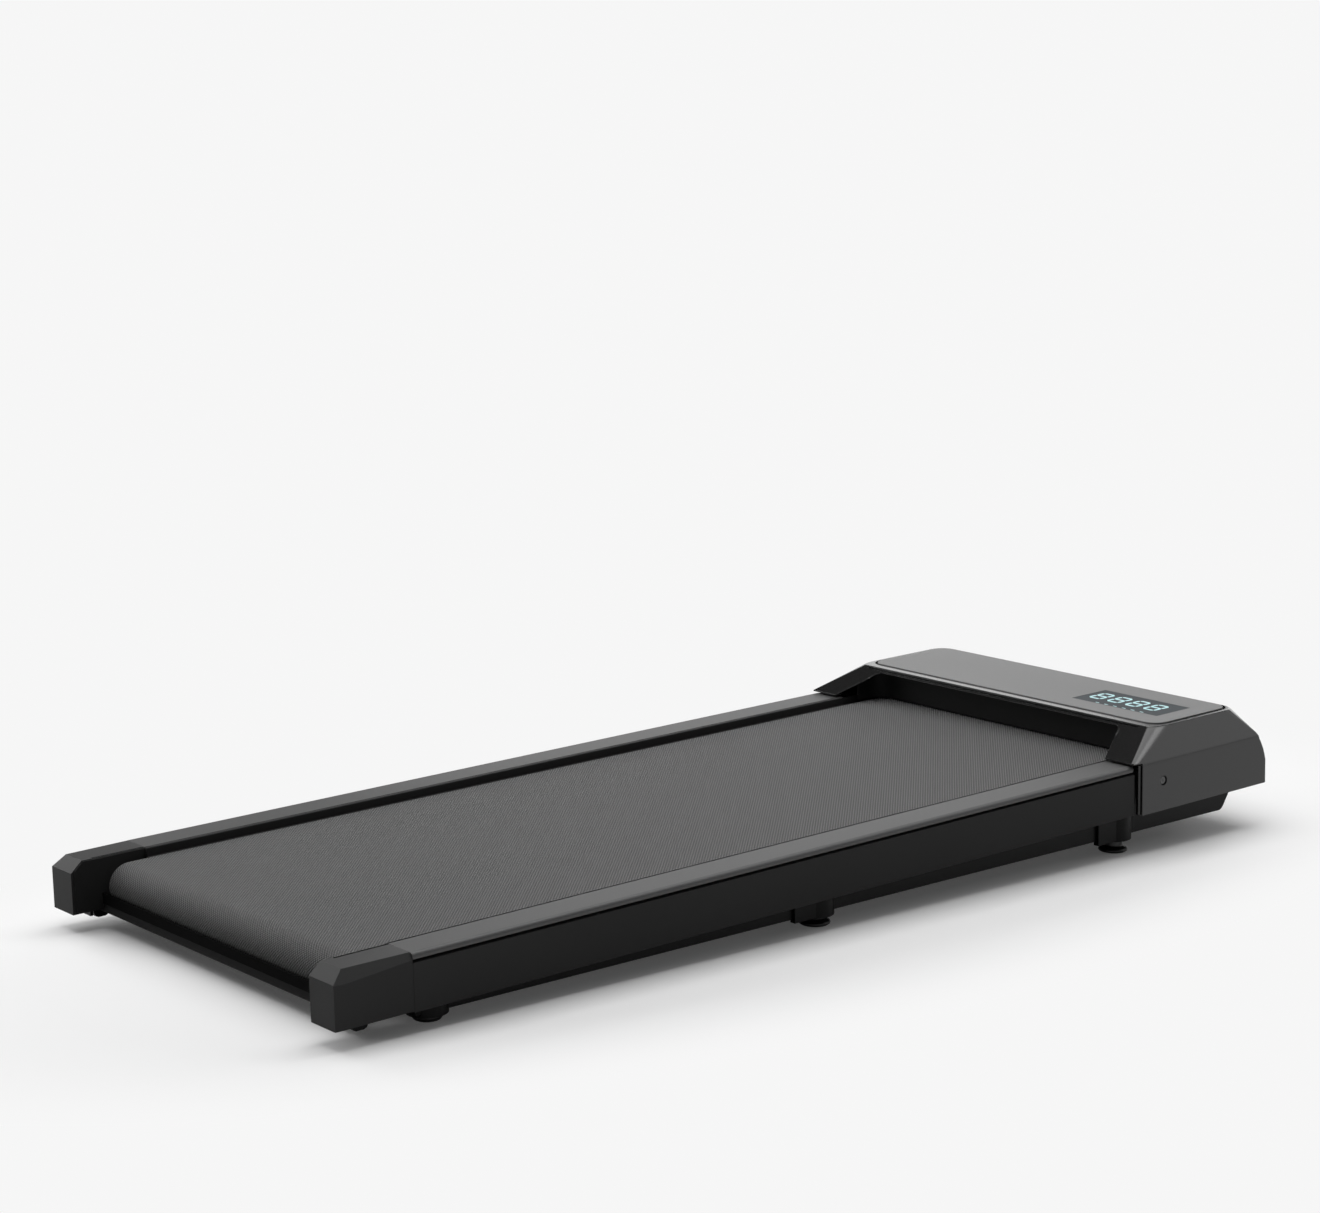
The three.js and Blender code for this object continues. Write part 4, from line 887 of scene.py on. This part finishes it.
def make_bracket(station, side_name, side):
    """A round bracket round its foot, with a welded flange along the beam."""
    node = f"foot_bracket_{station}_{side_name}"
    low, high = deck_box(node)
    middle = (low + high) / 2
    radius = (high.y - low.y) / 2
    outer = beam_outer()
    post = round_bar("z", middle.xy, radius, low.z, high.z, "post", steps=FINE_STEPS)
    flange = side_box(
        side,
        (outer - FLANGE_THICKNESS, middle.y - FLANGE_REACH, low.z + FLANGE_LIFT),
        (outer + FLANGE_THICKNESS, middle.y, high.z),
        "flange",
    )
    mesh = merged([post, flange], "bracket")
    piece = add_piece(f"bracket_{station}_{side_name}", mesh, "frame_steel", node)
    soften(piece, BRACKET_ROUND, angle=40)


def make_foot(station, side_name):
    """A round rubber foot: a flat disc with a rounded edge, on a neck."""
    node = f"foot_{station}_{side_name}"
    low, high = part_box(node)
    middle = (low + high) / 2
    rings = []
    for radius, height in [*FOOT_PROFILE, (FOOT_PROFILE[-1][0], high.z - low.z)]:
        outline = arc(middle.xy, (radius, radius), 0, 4, FINE_STEPS)[:-1]
        rings.append([(x, y, low.z + height) for x, y in outline])
    mesh = skin(rings, "foot")
    mesh.transform(DECK.inverted())
    piece = add_piece(f"foot_pad_{station}_{side_name}", mesh, "black_rubber", node)
    keep_facets(piece, angle=50)


for side_name, side in SIDES.items():
    make_beam(side_name, side)
    for station in ("middle", "front"):  # the rear feet stay as the CAD model has them
        make_bracket(station, side_name, side)
        make_foot(station, side_name)


# ---------------------------------------------------------------- hood

HOOD_WALL = 2.8 * MM
HOOD_CREASE = 72.2 * MM
HOOD_SLANT = 23 / 28.8  # inwards per height, above the crease
CREASE_ROUND = 1.3 * MM
CREASE_INSET = 0.2 * MM
HOOD_CORNER_STEPS = 12
HOOD_CUT_PAST = 5 * MM
HOOD_TOP_REAR = 58 * MM  # from the wing tips to the top's rear edge
HOOD_TOP_FRONT = 24.3 * MM  # from the front to the top's front edge
WING_UNDER = 74.0 * MM
WING_LIP_TOP = 75.7 * MM
WING_CORNER = (1.5 * MM, 16 * MM)
TOP_CORNER = (10 * MM, 27 * MM)
TOP_FRONT_CORNER = 19 * MM
RIM_EDGE = ((0.65 * MM, 0.0), (0.3 * MM, 0.7 * MM), (0.0, 2.0 * MM))  # below the top, inwards
SIDE_CORNER = (0.8 * MM, 0.8 * MM)
SIDE_REAR_INSET = 13.7 * MM  # hood's side walls start this far ahead of the wing tips
NOSE = (  # (height, how far the front stands back) up the front
    (16.8 * MM, 0.0),
    (43.5 * MM, 0.3 * MM),
    (46.5 * MM, 1.2 * MM),
    (49.5 * MM, 2.0 * MM),
    (56.6 * MM, 4.6 * MM),
    (64.5 * MM, 8.6 * MM),
    (68.2 * MM, 11.0 * MM),
)
NOSE_CORNER = 3 * MM
ARCH_TOP_HALF = 196 * MM
ARCH_BOTTOM_HALF = 217 * MM
ARCH_HEAD = 3.5 * MM
ARCH_UNDERCUT = 3 * MM
ARCH_CORNER = 13 * MM
ARCH_CORNER_START = 0.25  # in quarter turns, where the corner meets the sloping leg
ARCH_EASE = 1.1 * MM
ARCH_EASE_LEAD = ARCH_EASE / 3
FLANGE_WIDTH = 9 * MM
GROOVE_INSET = (0.9 * MM, 2.9 * MM)  # of the upright groove, from the hood's side
GROOVE_DEPTH = 2.2 * MM
BEAD_RADIUS = 2.7 * MM
BEAD_INSET = 5.8 * MM
BEAD_FORWARD = 0.9 * MM
BEAD_SHORT = 0.5 * MM
PLATE_GROOVE = 3 * MM
PLATE_RISE = 1 * MM
PLATE_HALF = 223 * MM
PLATE_REAR_INSET = 2 * MM
PLATE_CORNER = 17 * MM
PLATE_CORNER_STEPS = 10
PLATE_UNDER = 0.3 * MM
WELL_INSET = 8 * MM
WELL_DEPTH = 30 * MM
PLATE_EDGE = ((0.7 * MM, 0.0), (0.2 * MM, 0.15 * MM), (0.0, 0.6 * MM))  # below its top, inwards
PARTING_LINE = (0.9 * MM, 2.3 * MM)  # below the top: upper and lower edge of the slit at the rear
PARTING_INSET = 18 * MM  # from the ends of the rear rim
PARTING_WALL = 0.4 * MM
SCREW_PLACE = (1059.5 * MM, 49.9 * MM)
SCREW_RADIUS = 3.9 * MM
SCREW_DEPTHS = (1.1 * MM, 2.4 * MM)  # of its face and its back, below the hood's side
SCREW_RECESS = 5.4 * MM
SCREW_RECESS_DEPTH = 2.1 * MM
SCREW_CROSS = (1.6 * MM, 0.4 * MM)  # half its length and half its width
SCREW_CROSS_DEPTH = 1.8 * MM
SOCKET_POCKET = ((61 * MM, 1228 * MM, 19 * MM), (177.5 * MM, 1240 * MM, 44 * MM))
SOCKET_WALL = 2.8 * MM
SOCKET_UNDER = 1.5 * MM
SOCKET_DEPTH = 1.6 * MM
INLET_LIP = 1.2 * MM
BREAKER_GAP = 0.4 * MM
HOLE_REACH = 20 * MM


def hood_outline(z, half, rear, front, rear_corner=SIDE_CORNER, front_corner=NOSE_CORNER):
    """The hood's outline at one height."""
    corners = (rear_corner, (front_corner, front_corner))
    outline = rounded_box((-half, rear), (half, front), corners, HOOD_CORNER_STEPS)
    return [(x, y, z) for x, y in outline]


def hood_rings(low, high, shrink=0.0):
    """The hood's outlines from its lower edge to its top, set in by a wall's thickness or not."""
    side_rear = low.y + SIDE_REAR_INSET + shrink
    wing_rear = low.y + shrink
    half = high.x - shrink
    top = high.z - shrink
    crease = HOOD_CREASE - shrink / 2
    nose_z, nose_back = NOSE[-1]

    def half_at(z):
        return half - HOOD_SLANT * (z - crease)

    def front_at(z):
        share = (z - nose_z) / (top - nose_z)
        return high.y - shrink - nose_back * (1 - share) - HOOD_TOP_FRONT * share

    rings = [hood_outline(z, half, side_rear, high.y - back - shrink) for z, back in NOSE]
    for z, half_width in (
        (crease - CREASE_ROUND, half),
        (crease, half - CREASE_INSET),
        (crease + CREASE_ROUND, half_at(crease + CREASE_ROUND)),
        (WING_UNDER, half_at(WING_UNDER)),
    ):
        rings.append(hood_outline(z, half_width, side_rear, front_at(z)))
    for z in (WING_UNDER, WING_LIP_TOP):
        rings.append(hood_outline(z, half_at(z), wing_rear, front_at(z), WING_CORNER))
    rim = top - RIM_EDGE[0][0]
    rim_rear = wing_rear + HOOD_TOP_REAR * (rim - WING_LIP_TOP) / (top - WING_LIP_TOP)
    for below, inset in RIM_EDGE:
        ring = hood_outline(
            top - below,
            half_at(rim) - inset,
            rim_rear + inset,
            front_at(rim) - inset,
            [radius - inset for radius in TOP_CORNER],
            TOP_FRONT_CORNER - inset,
        )
        rings.append(ring)
    return rings


def plate_outline(grow):
    """The top plate's outline in (x, y), larger all round by a margin."""
    low, high = deck_box("hood_top_panel")
    half = PLATE_HALF + grow
    corner = (PLATE_CORNER + grow, PLATE_CORNER + grow)
    rear = low.y + PLATE_REAR_INSET - grow
    return rounded_box((-half, rear), (half, high.y + grow), (corner, corner), PLATE_CORNER_STEPS)


def archway_outline(high):
    """The archway in (x, z), from its right foot over its head to its left foot."""
    head = high.z - ARCH_HEAD
    foot = WING_UNDER - ARCH_UNDERCUT
    center = (ARCH_TOP_HALF - ARCH_CORNER, head - ARCH_CORNER)
    corner = arc(center, (ARCH_CORNER, ARCH_CORNER), ARCH_CORNER_START, 1, steps=9)
    outline = [(ARCH_BOTTOM_HALF, foot), *corner]
    return outline + [(-x, z) for x, z in reversed(outline)]


def archway(low, high):
    """A cutter for the opening over the belt."""
    ends = (low.y - HOOD_CUT_PAST, low.y + HOOD_TOP_REAR + HOOD_WALL)
    return prism("y", archway_outline(high), ends, "archway")


def arch_ease(low, high):
    """A cutter that chamfers the edge between the rear slope and the archway."""
    outline = archway_outline(high)
    last = len(outline) - 1
    rise = high.z - RIM_EDGE[0][0] - WING_LIP_TOP
    slope = Vector((HOOD_TOP_REAR, rise)).normalized()
    rings = []
    for depth in (-ARCH_EASE_LEAD, ARCH_EASE):
        grow = ARCH_EASE - depth
        ring = []
        for i, (x, z) in enumerate(outline):
            before = Vector(outline[max(i - 1, 0)])
            after = Vector(outline[min(i + 1, last)])
            along = (after - before).normalized()
            place_x = x + grow * along.y
            place_z = z - grow * slope.y * along.x
            y = low.y + HOOD_TOP_REAR * (place_z - WING_LIP_TOP) / rise
            ring.append((place_x, y + depth * slope.y, place_z - depth * slope.x))
        rings.append(ring)
    return skin(rings, "ease")


def socket_holes():
    """Cutters for the inlet and the breaker, from their own CAD boxes."""
    face = SOCKET_POCKET[0][1]
    ends = (face - HOLE_REACH, face + HOLE_REACH)
    low, high = deck_box("power_inlet")
    inlet = box_mesh(
        (low.x + INLET_LIP, ends[0], low.z + INLET_LIP),
        (high.x - INLET_LIP, ends[1], high.z - INLET_LIP),
    )
    low, high = deck_box("breaker_button")
    middle = (low + high) / 2
    radius = (high.x - low.x) / 2 + BREAKER_GAP
    return [inlet, round_bar("y", middle.xz, radius, *ends)]


def make_socket_tray():
    """The recess in the hood's front that carries the inlet, the rocker and the breaker."""
    low, high = SOCKET_POCKET
    outer = box_mesh(
        (low[0] - SOCKET_WALL, low[1] - SOCKET_WALL, low[2] - SOCKET_UNDER),
        (high[0] + SOCKET_WALL, low[1] + SOCKET_DEPTH, high[2] + SOCKET_WALL),
    )
    mesh = carve(outer, [box_mesh(low, high), *socket_holes()])
    piece = add_piece("socket_tray", mesh, "hood_plastic")
    keep_facets(piece)


def plate_seat(high):
    """Cutters for the top plate's recess and for the well under it."""
    plate_foot = deck_box("hood_top_panel")[0].z
    recess_foot = plate_foot - PLATE_UNDER
    return [
        prism("z", plate_outline(PLATE_GROOVE), (recess_foot, high.z + HOOD_CUT_PAST), "recess"),
        prism("z", plate_outline(-WELL_INSET), (plate_foot - WELL_DEPTH, high.z), "well"),
    ]


def parting_slit(low, high):
    """A cutter for the fine slit along the rear rim."""
    half = high.x - HOOD_SLANT * (high.z - HOOD_CREASE) - PARTING_INSET
    upper, lower = PARTING_LINE
    return box_mesh(
        (-half, low.y, high.z - lower),
        (half, low.y + HOOD_TOP_REAR - PARTING_WALL, high.z - upper),
    )


def side_cuts(side, low, high):
    """Cutters for one side's upright groove and for the recess round its screw."""
    rear = low.y + SIDE_REAR_INSET
    outer, inner = GROOVE_INSET
    groove = side_box(
        side,
        (high.x - inner, rear - CUT_PAST, low.z - CUT_PAST),
        (high.x - outer, rear + GROOVE_DEPTH, HOOD_CREASE),
    )
    ends = ends_across(side, high.x - SCREW_RECESS_DEPTH, high.x + HOOD_CUT_PAST)
    return [groove, round_bar("x", SCREW_PLACE, SCREW_RECESS, *ends)]


def make_hood():
    """The hood: a hollow shell with an archway over the belt and a recess for the top plate."""
    low, high = deck_box("hood_shell")
    outer = skin(hood_rings(low, high), "hood")
    inner_rings = hood_rings(low, high, shrink=HOOD_WALL)
    inner_rings[0] = [(x, y, z - HOOD_CUT_PAST) for x, y, z in inner_rings[0]]
    half = high.x - FLANGE_WIDTH
    rear_opening = box_mesh(
        (-half, low.y - HOOD_CUT_PAST, low.z - HOOD_CUT_PAST),
        (half, low.y + SIDE_REAR_INSET + 2 * HOOD_WALL, WING_UNDER),
    )
    cutters = [skin(inner_rings, "hollow"), rear_opening, archway(low, high), arch_ease(low, high)]
    cutters += [*plate_seat(high), parting_slit(low, high), box_mesh(*SOCKET_POCKET)]
    for side in SIDES.values():
        cutters += side_cuts(side, low, high)
    piece = add_piece("hood_cover", carve(outer, cutters), "hood_plastic", "hood_shell")
    keep_facets(piece)


def make_bead(side_name, side):
    """A round bead beside the flange of the hood's side."""
    low, high = deck_box("hood_shell")
    center = (side * (high.x - BEAD_INSET), low.y + SIDE_REAR_INSET + BEAD_FORWARD)
    bead = round_bar("z", center, BEAD_RADIUS, low.z + BEAD_SHORT, HOOD_CREASE - BEAD_SHORT, "bead")
    piece = add_piece(f"hood_bead_{side_name}", bead, "hood_plastic")
    keep_facets(piece)


def make_screw(side_name, side):
    """A cross-headed screw, sunk in the hood's side."""
    outer = deck_box("hood_shell")[1].x
    face, back = SCREW_DEPTHS
    ends = ends_across(side, outer - back, outer - face)
    head = round_bar("x", SCREW_PLACE, SCREW_RADIUS, *ends, "screw")
    y, z = SCREW_PLACE
    cross = []
    for wide, tall in (SCREW_CROSS, SCREW_CROSS[::-1]):
        low = (outer - SCREW_CROSS_DEPTH, y - wide, z - tall)
        high = (outer + CUT_PAST, y + wide, z + tall)
        cross.append(side_box(side, low, high))
    mesh = carve(head, cross)
    piece = add_piece(f"hood_screw_{side_name}", mesh, "bright_steel", material="black_screw")
    keep_facets(piece)


make_hood()
make_socket_tray()
for side_name, side in SIDES.items():
    make_bead(side_name, side)
    make_screw(side_name, side)


# ---------------------------------------------------------------- top plate and display

DIGIT_SIZE = (18.5 * MM, 28 * MM)
DIGIT_START = (81.5 * MM, 1127.5 * MM)
DIGIT_PITCH = 26.5 * MM
DIGIT_COUNT = 4
DIGIT_LEAN = 0.05
STROKE = 3.4 * MM
STROKE_GAP = 0.5 * MM
LIT_THICKNESS = 0.15 * MM
MARK_SIZE = (5.0 * MM, 1.2 * MM)
MARK_START = (106 * MM, 1114 * MM)
MARK_PITCH = 13 * MM
MARK_COUNT = 6
WINDOW_DIP = 0.15 * MM
WINDOW_GAP = 0.25 * MM
WINDOW_SHIFT = Vector((3.2 * MM, 2.4 * MM, 0))


def plate_top():
    return deck_box("hood_shell")[1].z + PLATE_RISE


def make_top_plate():
    """The panel on the hood, with a hole for the display's window."""
    foot = deck_box("hood_top_panel")[0].z
    top = plate_top()
    rings = [[(x, y, foot) for x, y in plate_outline(0)]]
    for below, inset in PLATE_EDGE:
        rings.append([(x, y, top - below) for x, y in plate_outline(-inset)])
    low, high = (corner + WINDOW_SHIFT for corner in deck_box("display_window"))
    hole = box_mesh(
        (low.x - WINDOW_GAP, low.y - WINDOW_GAP, foot - CUT_PAST),
        (high.x + WINDOW_GAP, high.y + WINDOW_GAP, top + CUT_PAST),
    )
    mesh = carve(skin(rings, "plate"), [hole])
    piece = add_piece("top_plate", mesh, "top_panel", "hood_top_panel")
    keep_facets(piece)
    window = box_mesh(low, (high.x, high.y, top - WINDOW_DIP), "window")
    piece = add_piece("window_pane", window, "display_acrylic", "display_window")
    keep_facets(piece)


def stroke(start, end):
    """One pointed stroke of a digit in (x, y), between two points of its skeleton."""
    run = (Vector(end) - Vector(start)).normalized()
    side_step = Vector((-run.y, run.x)) * STROKE / 2
    first = Vector(start) + run * STROKE_GAP
    last = Vector(end) - run * STROKE_GAP
    shoulder = run * STROKE / 2
    outline = [first, first + shoulder - side_step, last - shoulder - side_step, last]
    outline += [last - shoulder + side_step, first + shoulder + side_step]
    return outline


def digit_strokes(corner):
    """Start and end of each of a digit's seven strokes."""
    width, height = DIGIT_SIZE
    left, bottom = corner
    columns = (left + STROKE / 2, left + width - STROKE / 2)
    levels = (bottom + STROKE / 2, bottom + height / 2, bottom + height - STROKE / 2)
    lines = [((columns[0], level), (columns[1], level)) for level in levels]
    for x in columns:
        lines += [((x, levels[0]), (x, levels[1])), ((x, levels[1]), (x, levels[2]))]
    return lines


def make_digits():
    """The lit digits, with a row of plain marks before them."""
    base = plate_top() - WINDOW_DIP
    top = base + LIT_THICKNESS
    start_x, start_y = DIGIT_START
    meshes = []
    for i in range(DIGIT_COUNT):
        for start, end in digit_strokes((start_x + i * DIGIT_PITCH, start_y)):
            leaned = [(x + DIGIT_LEAN * (y - start_y), y) for x, y in stroke(start, end)]
            meshes.append(prism("z", leaned, (base, top), "stroke"))
    width, length = MARK_SIZE
    for i in range(MARK_COUNT):
        x = MARK_START[0] + i * MARK_PITCH
        y = MARK_START[1]
        meshes.append(box_mesh((x, y, base), (x + width, y + length, top), "mark"))
    mesh = merged(meshes, "digits")
    add_piece("display_digits", mesh, "display_acrylic", material="lit_digits")


make_top_plate()
make_digits()


# ---------------------------------------------------------------- floor, world and lamps

BACKGROUND = 0.923
HORIZON = (0.1, 0.2)  # sines of the elevations between which the backdrop darkens
ZENITH = 0.06
AMBIENT = 0.05
FLOOR_RADIUS = 12
FLOOR_STEPS = 96
FLOOR_TONE = 0.92
FLOOR_BOUNCE = 0.1  # what the lit floor gives back to the object's sides
FAR_BOUNCE = 0.4
FADE = (0.66, 0.98)
FADE_SHAPE = (0.51, 1.05, 1.0)  # how far the fade reaches along each axis
FLOOR_GLOW = 0.06  # share of the floor's own tone that no shadow takes away


def floor_material():
    """Pale floor, which goes over into the backdrop's own tone away from the object."""
    shader = Shader("pale_floor")
    shader.tree.nodes.remove(shader.surface)
    squeezed = shader.node("ShaderNodeVectorMath", operation="DIVIDE")
    shader.feed(squeezed.inputs[0], shader.place())
    squeezed.inputs[1].default_value = FADE_SHAPE
    length = shader.node("ShaderNodeVectorMath", operation="LENGTH")
    shader.feed(length.inputs[0], squeezed.outputs[0])
    far = shader.spread(length.outputs["Value"], 0, 1, source=FADE, curve="SMOOTHSTEP")
    path = shader.node("ShaderNodeLightPath")
    bounced = path.outputs["Is Diffuse Ray"]
    diffuse = shader.node("ShaderNodeBsdfDiffuse")
    shader.feed(diffuse.inputs["Color"], shader.blend(bounced, grey(FLOOR_TONE), grey(FLOOR_BOUNCE)))
    glow = shader.node("ShaderNodeEmission")
    shader.feed(glow.inputs["Color"], shader.blend(bounced, grey(BACKGROUND), grey(FAR_BOUNCE)))
    share = shader.math("MULTIPLY", path.outputs["Is Camera Ray"], FLOOR_GLOW)
    mix = shader.node("ShaderNodeMixShader")
    shader.feed(mix.inputs[0], shader.math("MAXIMUM", far, share))
    shader.feed(mix.inputs[1], diffuse.outputs[0])
    shader.feed(mix.inputs[2], glow.outputs[0])
    shader.feed(shader.tree.nodes["Material Output"].inputs["Surface"], mix.outputs[0])
    return shader.owner


def make_floor():
    """A round floor, far wider than the object."""
    mesh = bpy.data.meshes.new("floor")
    work = bmesh.new()
    bmesh.ops.create_circle(work, cap_ends=True, segments=FLOOR_STEPS, radius=FLOOR_RADIUS)
    work.to_mesh(mesh)
    work.free()
    mesh.materials.append(floor_material())
    floor = bpy.data.objects.new("floor", mesh)
    bpy.context.scene.collection.objects.link(floor)


def make_world():
    """A backdrop that is pale round the horizon and dim overhead, and dimmer yet as a light."""
    shader = Shader("studio", "worlds")
    bpy.context.scene.world = shader.owner
    place = shader.node("ShaderNodeTexCoord").outputs["Generated"]
    height = shader.spread(shader.split(place)["Z"], 0, 1, source=HORIZON, curve="SMOOTHSTEP")
    sky = shader.blend(height, grey(BACKGROUND), grey(ZENITH))
    bounced = shader.node("ShaderNodeLightPath").outputs["Is Diffuse Ray"]
    colour = shader.blend(bounced, sky, grey(AMBIENT))
    shader.feed(shader.tree.nodes["Background"].inputs["Color"], colour)


SOFTBOXES = {  # place, target, size across and up, and power in watts
    "overhead": ((-0.3, 0.35, 2.9), (-0.3, 0.35, 0), (2.2, 4.2), 75),
    "left_high": ((-2.5, -0.7, 1.9), (0, 0, 0), (1.8, 1.4), 28),
    "left_low": ((-3.0, -0.8, 1.2), (0, 0, 0), (2.0, 1.2), 15.5),
    "rear_left": ((-1.6, -2.0, 2.9), (0, 0, 0), (1.6, 1.6), 9.5),
    "front_high": ((1.2, 3.0, 2.0), (0, 0, 0), (2.0, 1.6), 11.5),
    "front_top": ((0.9, 2.4, 2.8), (0.2, 0.5, 0.1), (0.9, 0.7), 9),
    "front_low": ((-1.0, 3.2, 1.0), (0, 0.2, 0.1), (1.6, 1.0), 12.5),
    "front_left": ((-2.4, 2.2, 0.9), (0, 0.2, 0.1), (1.6, 1.0), 8.2),
}


def make_lamp(name, place, target, size, watts):
    """A soft lamp that the camera doesn't see."""
    data = bpy.data.lights.new(name, "AREA")
    data.shape = "RECTANGLE"
    data.size, data.size_y = size
    data.energy = watts
    lamp = bpy.data.objects.new(name, data)
    lamp.location = place
    lamp.rotation_euler = (Vector(target) - Vector(place)).to_track_quat("-Z", "Y").to_euler()
    lamp.visible_camera = False
    bpy.context.scene.collection.objects.link(lamp)


make_floor()
make_world()
for name, lamp in SOFTBOXES.items():
    make_lamp(name, *lamp)


# ---------------------------------------------------------------- last steps

view = bpy.context.scene.view_settings
view.view_transform = "Standard"
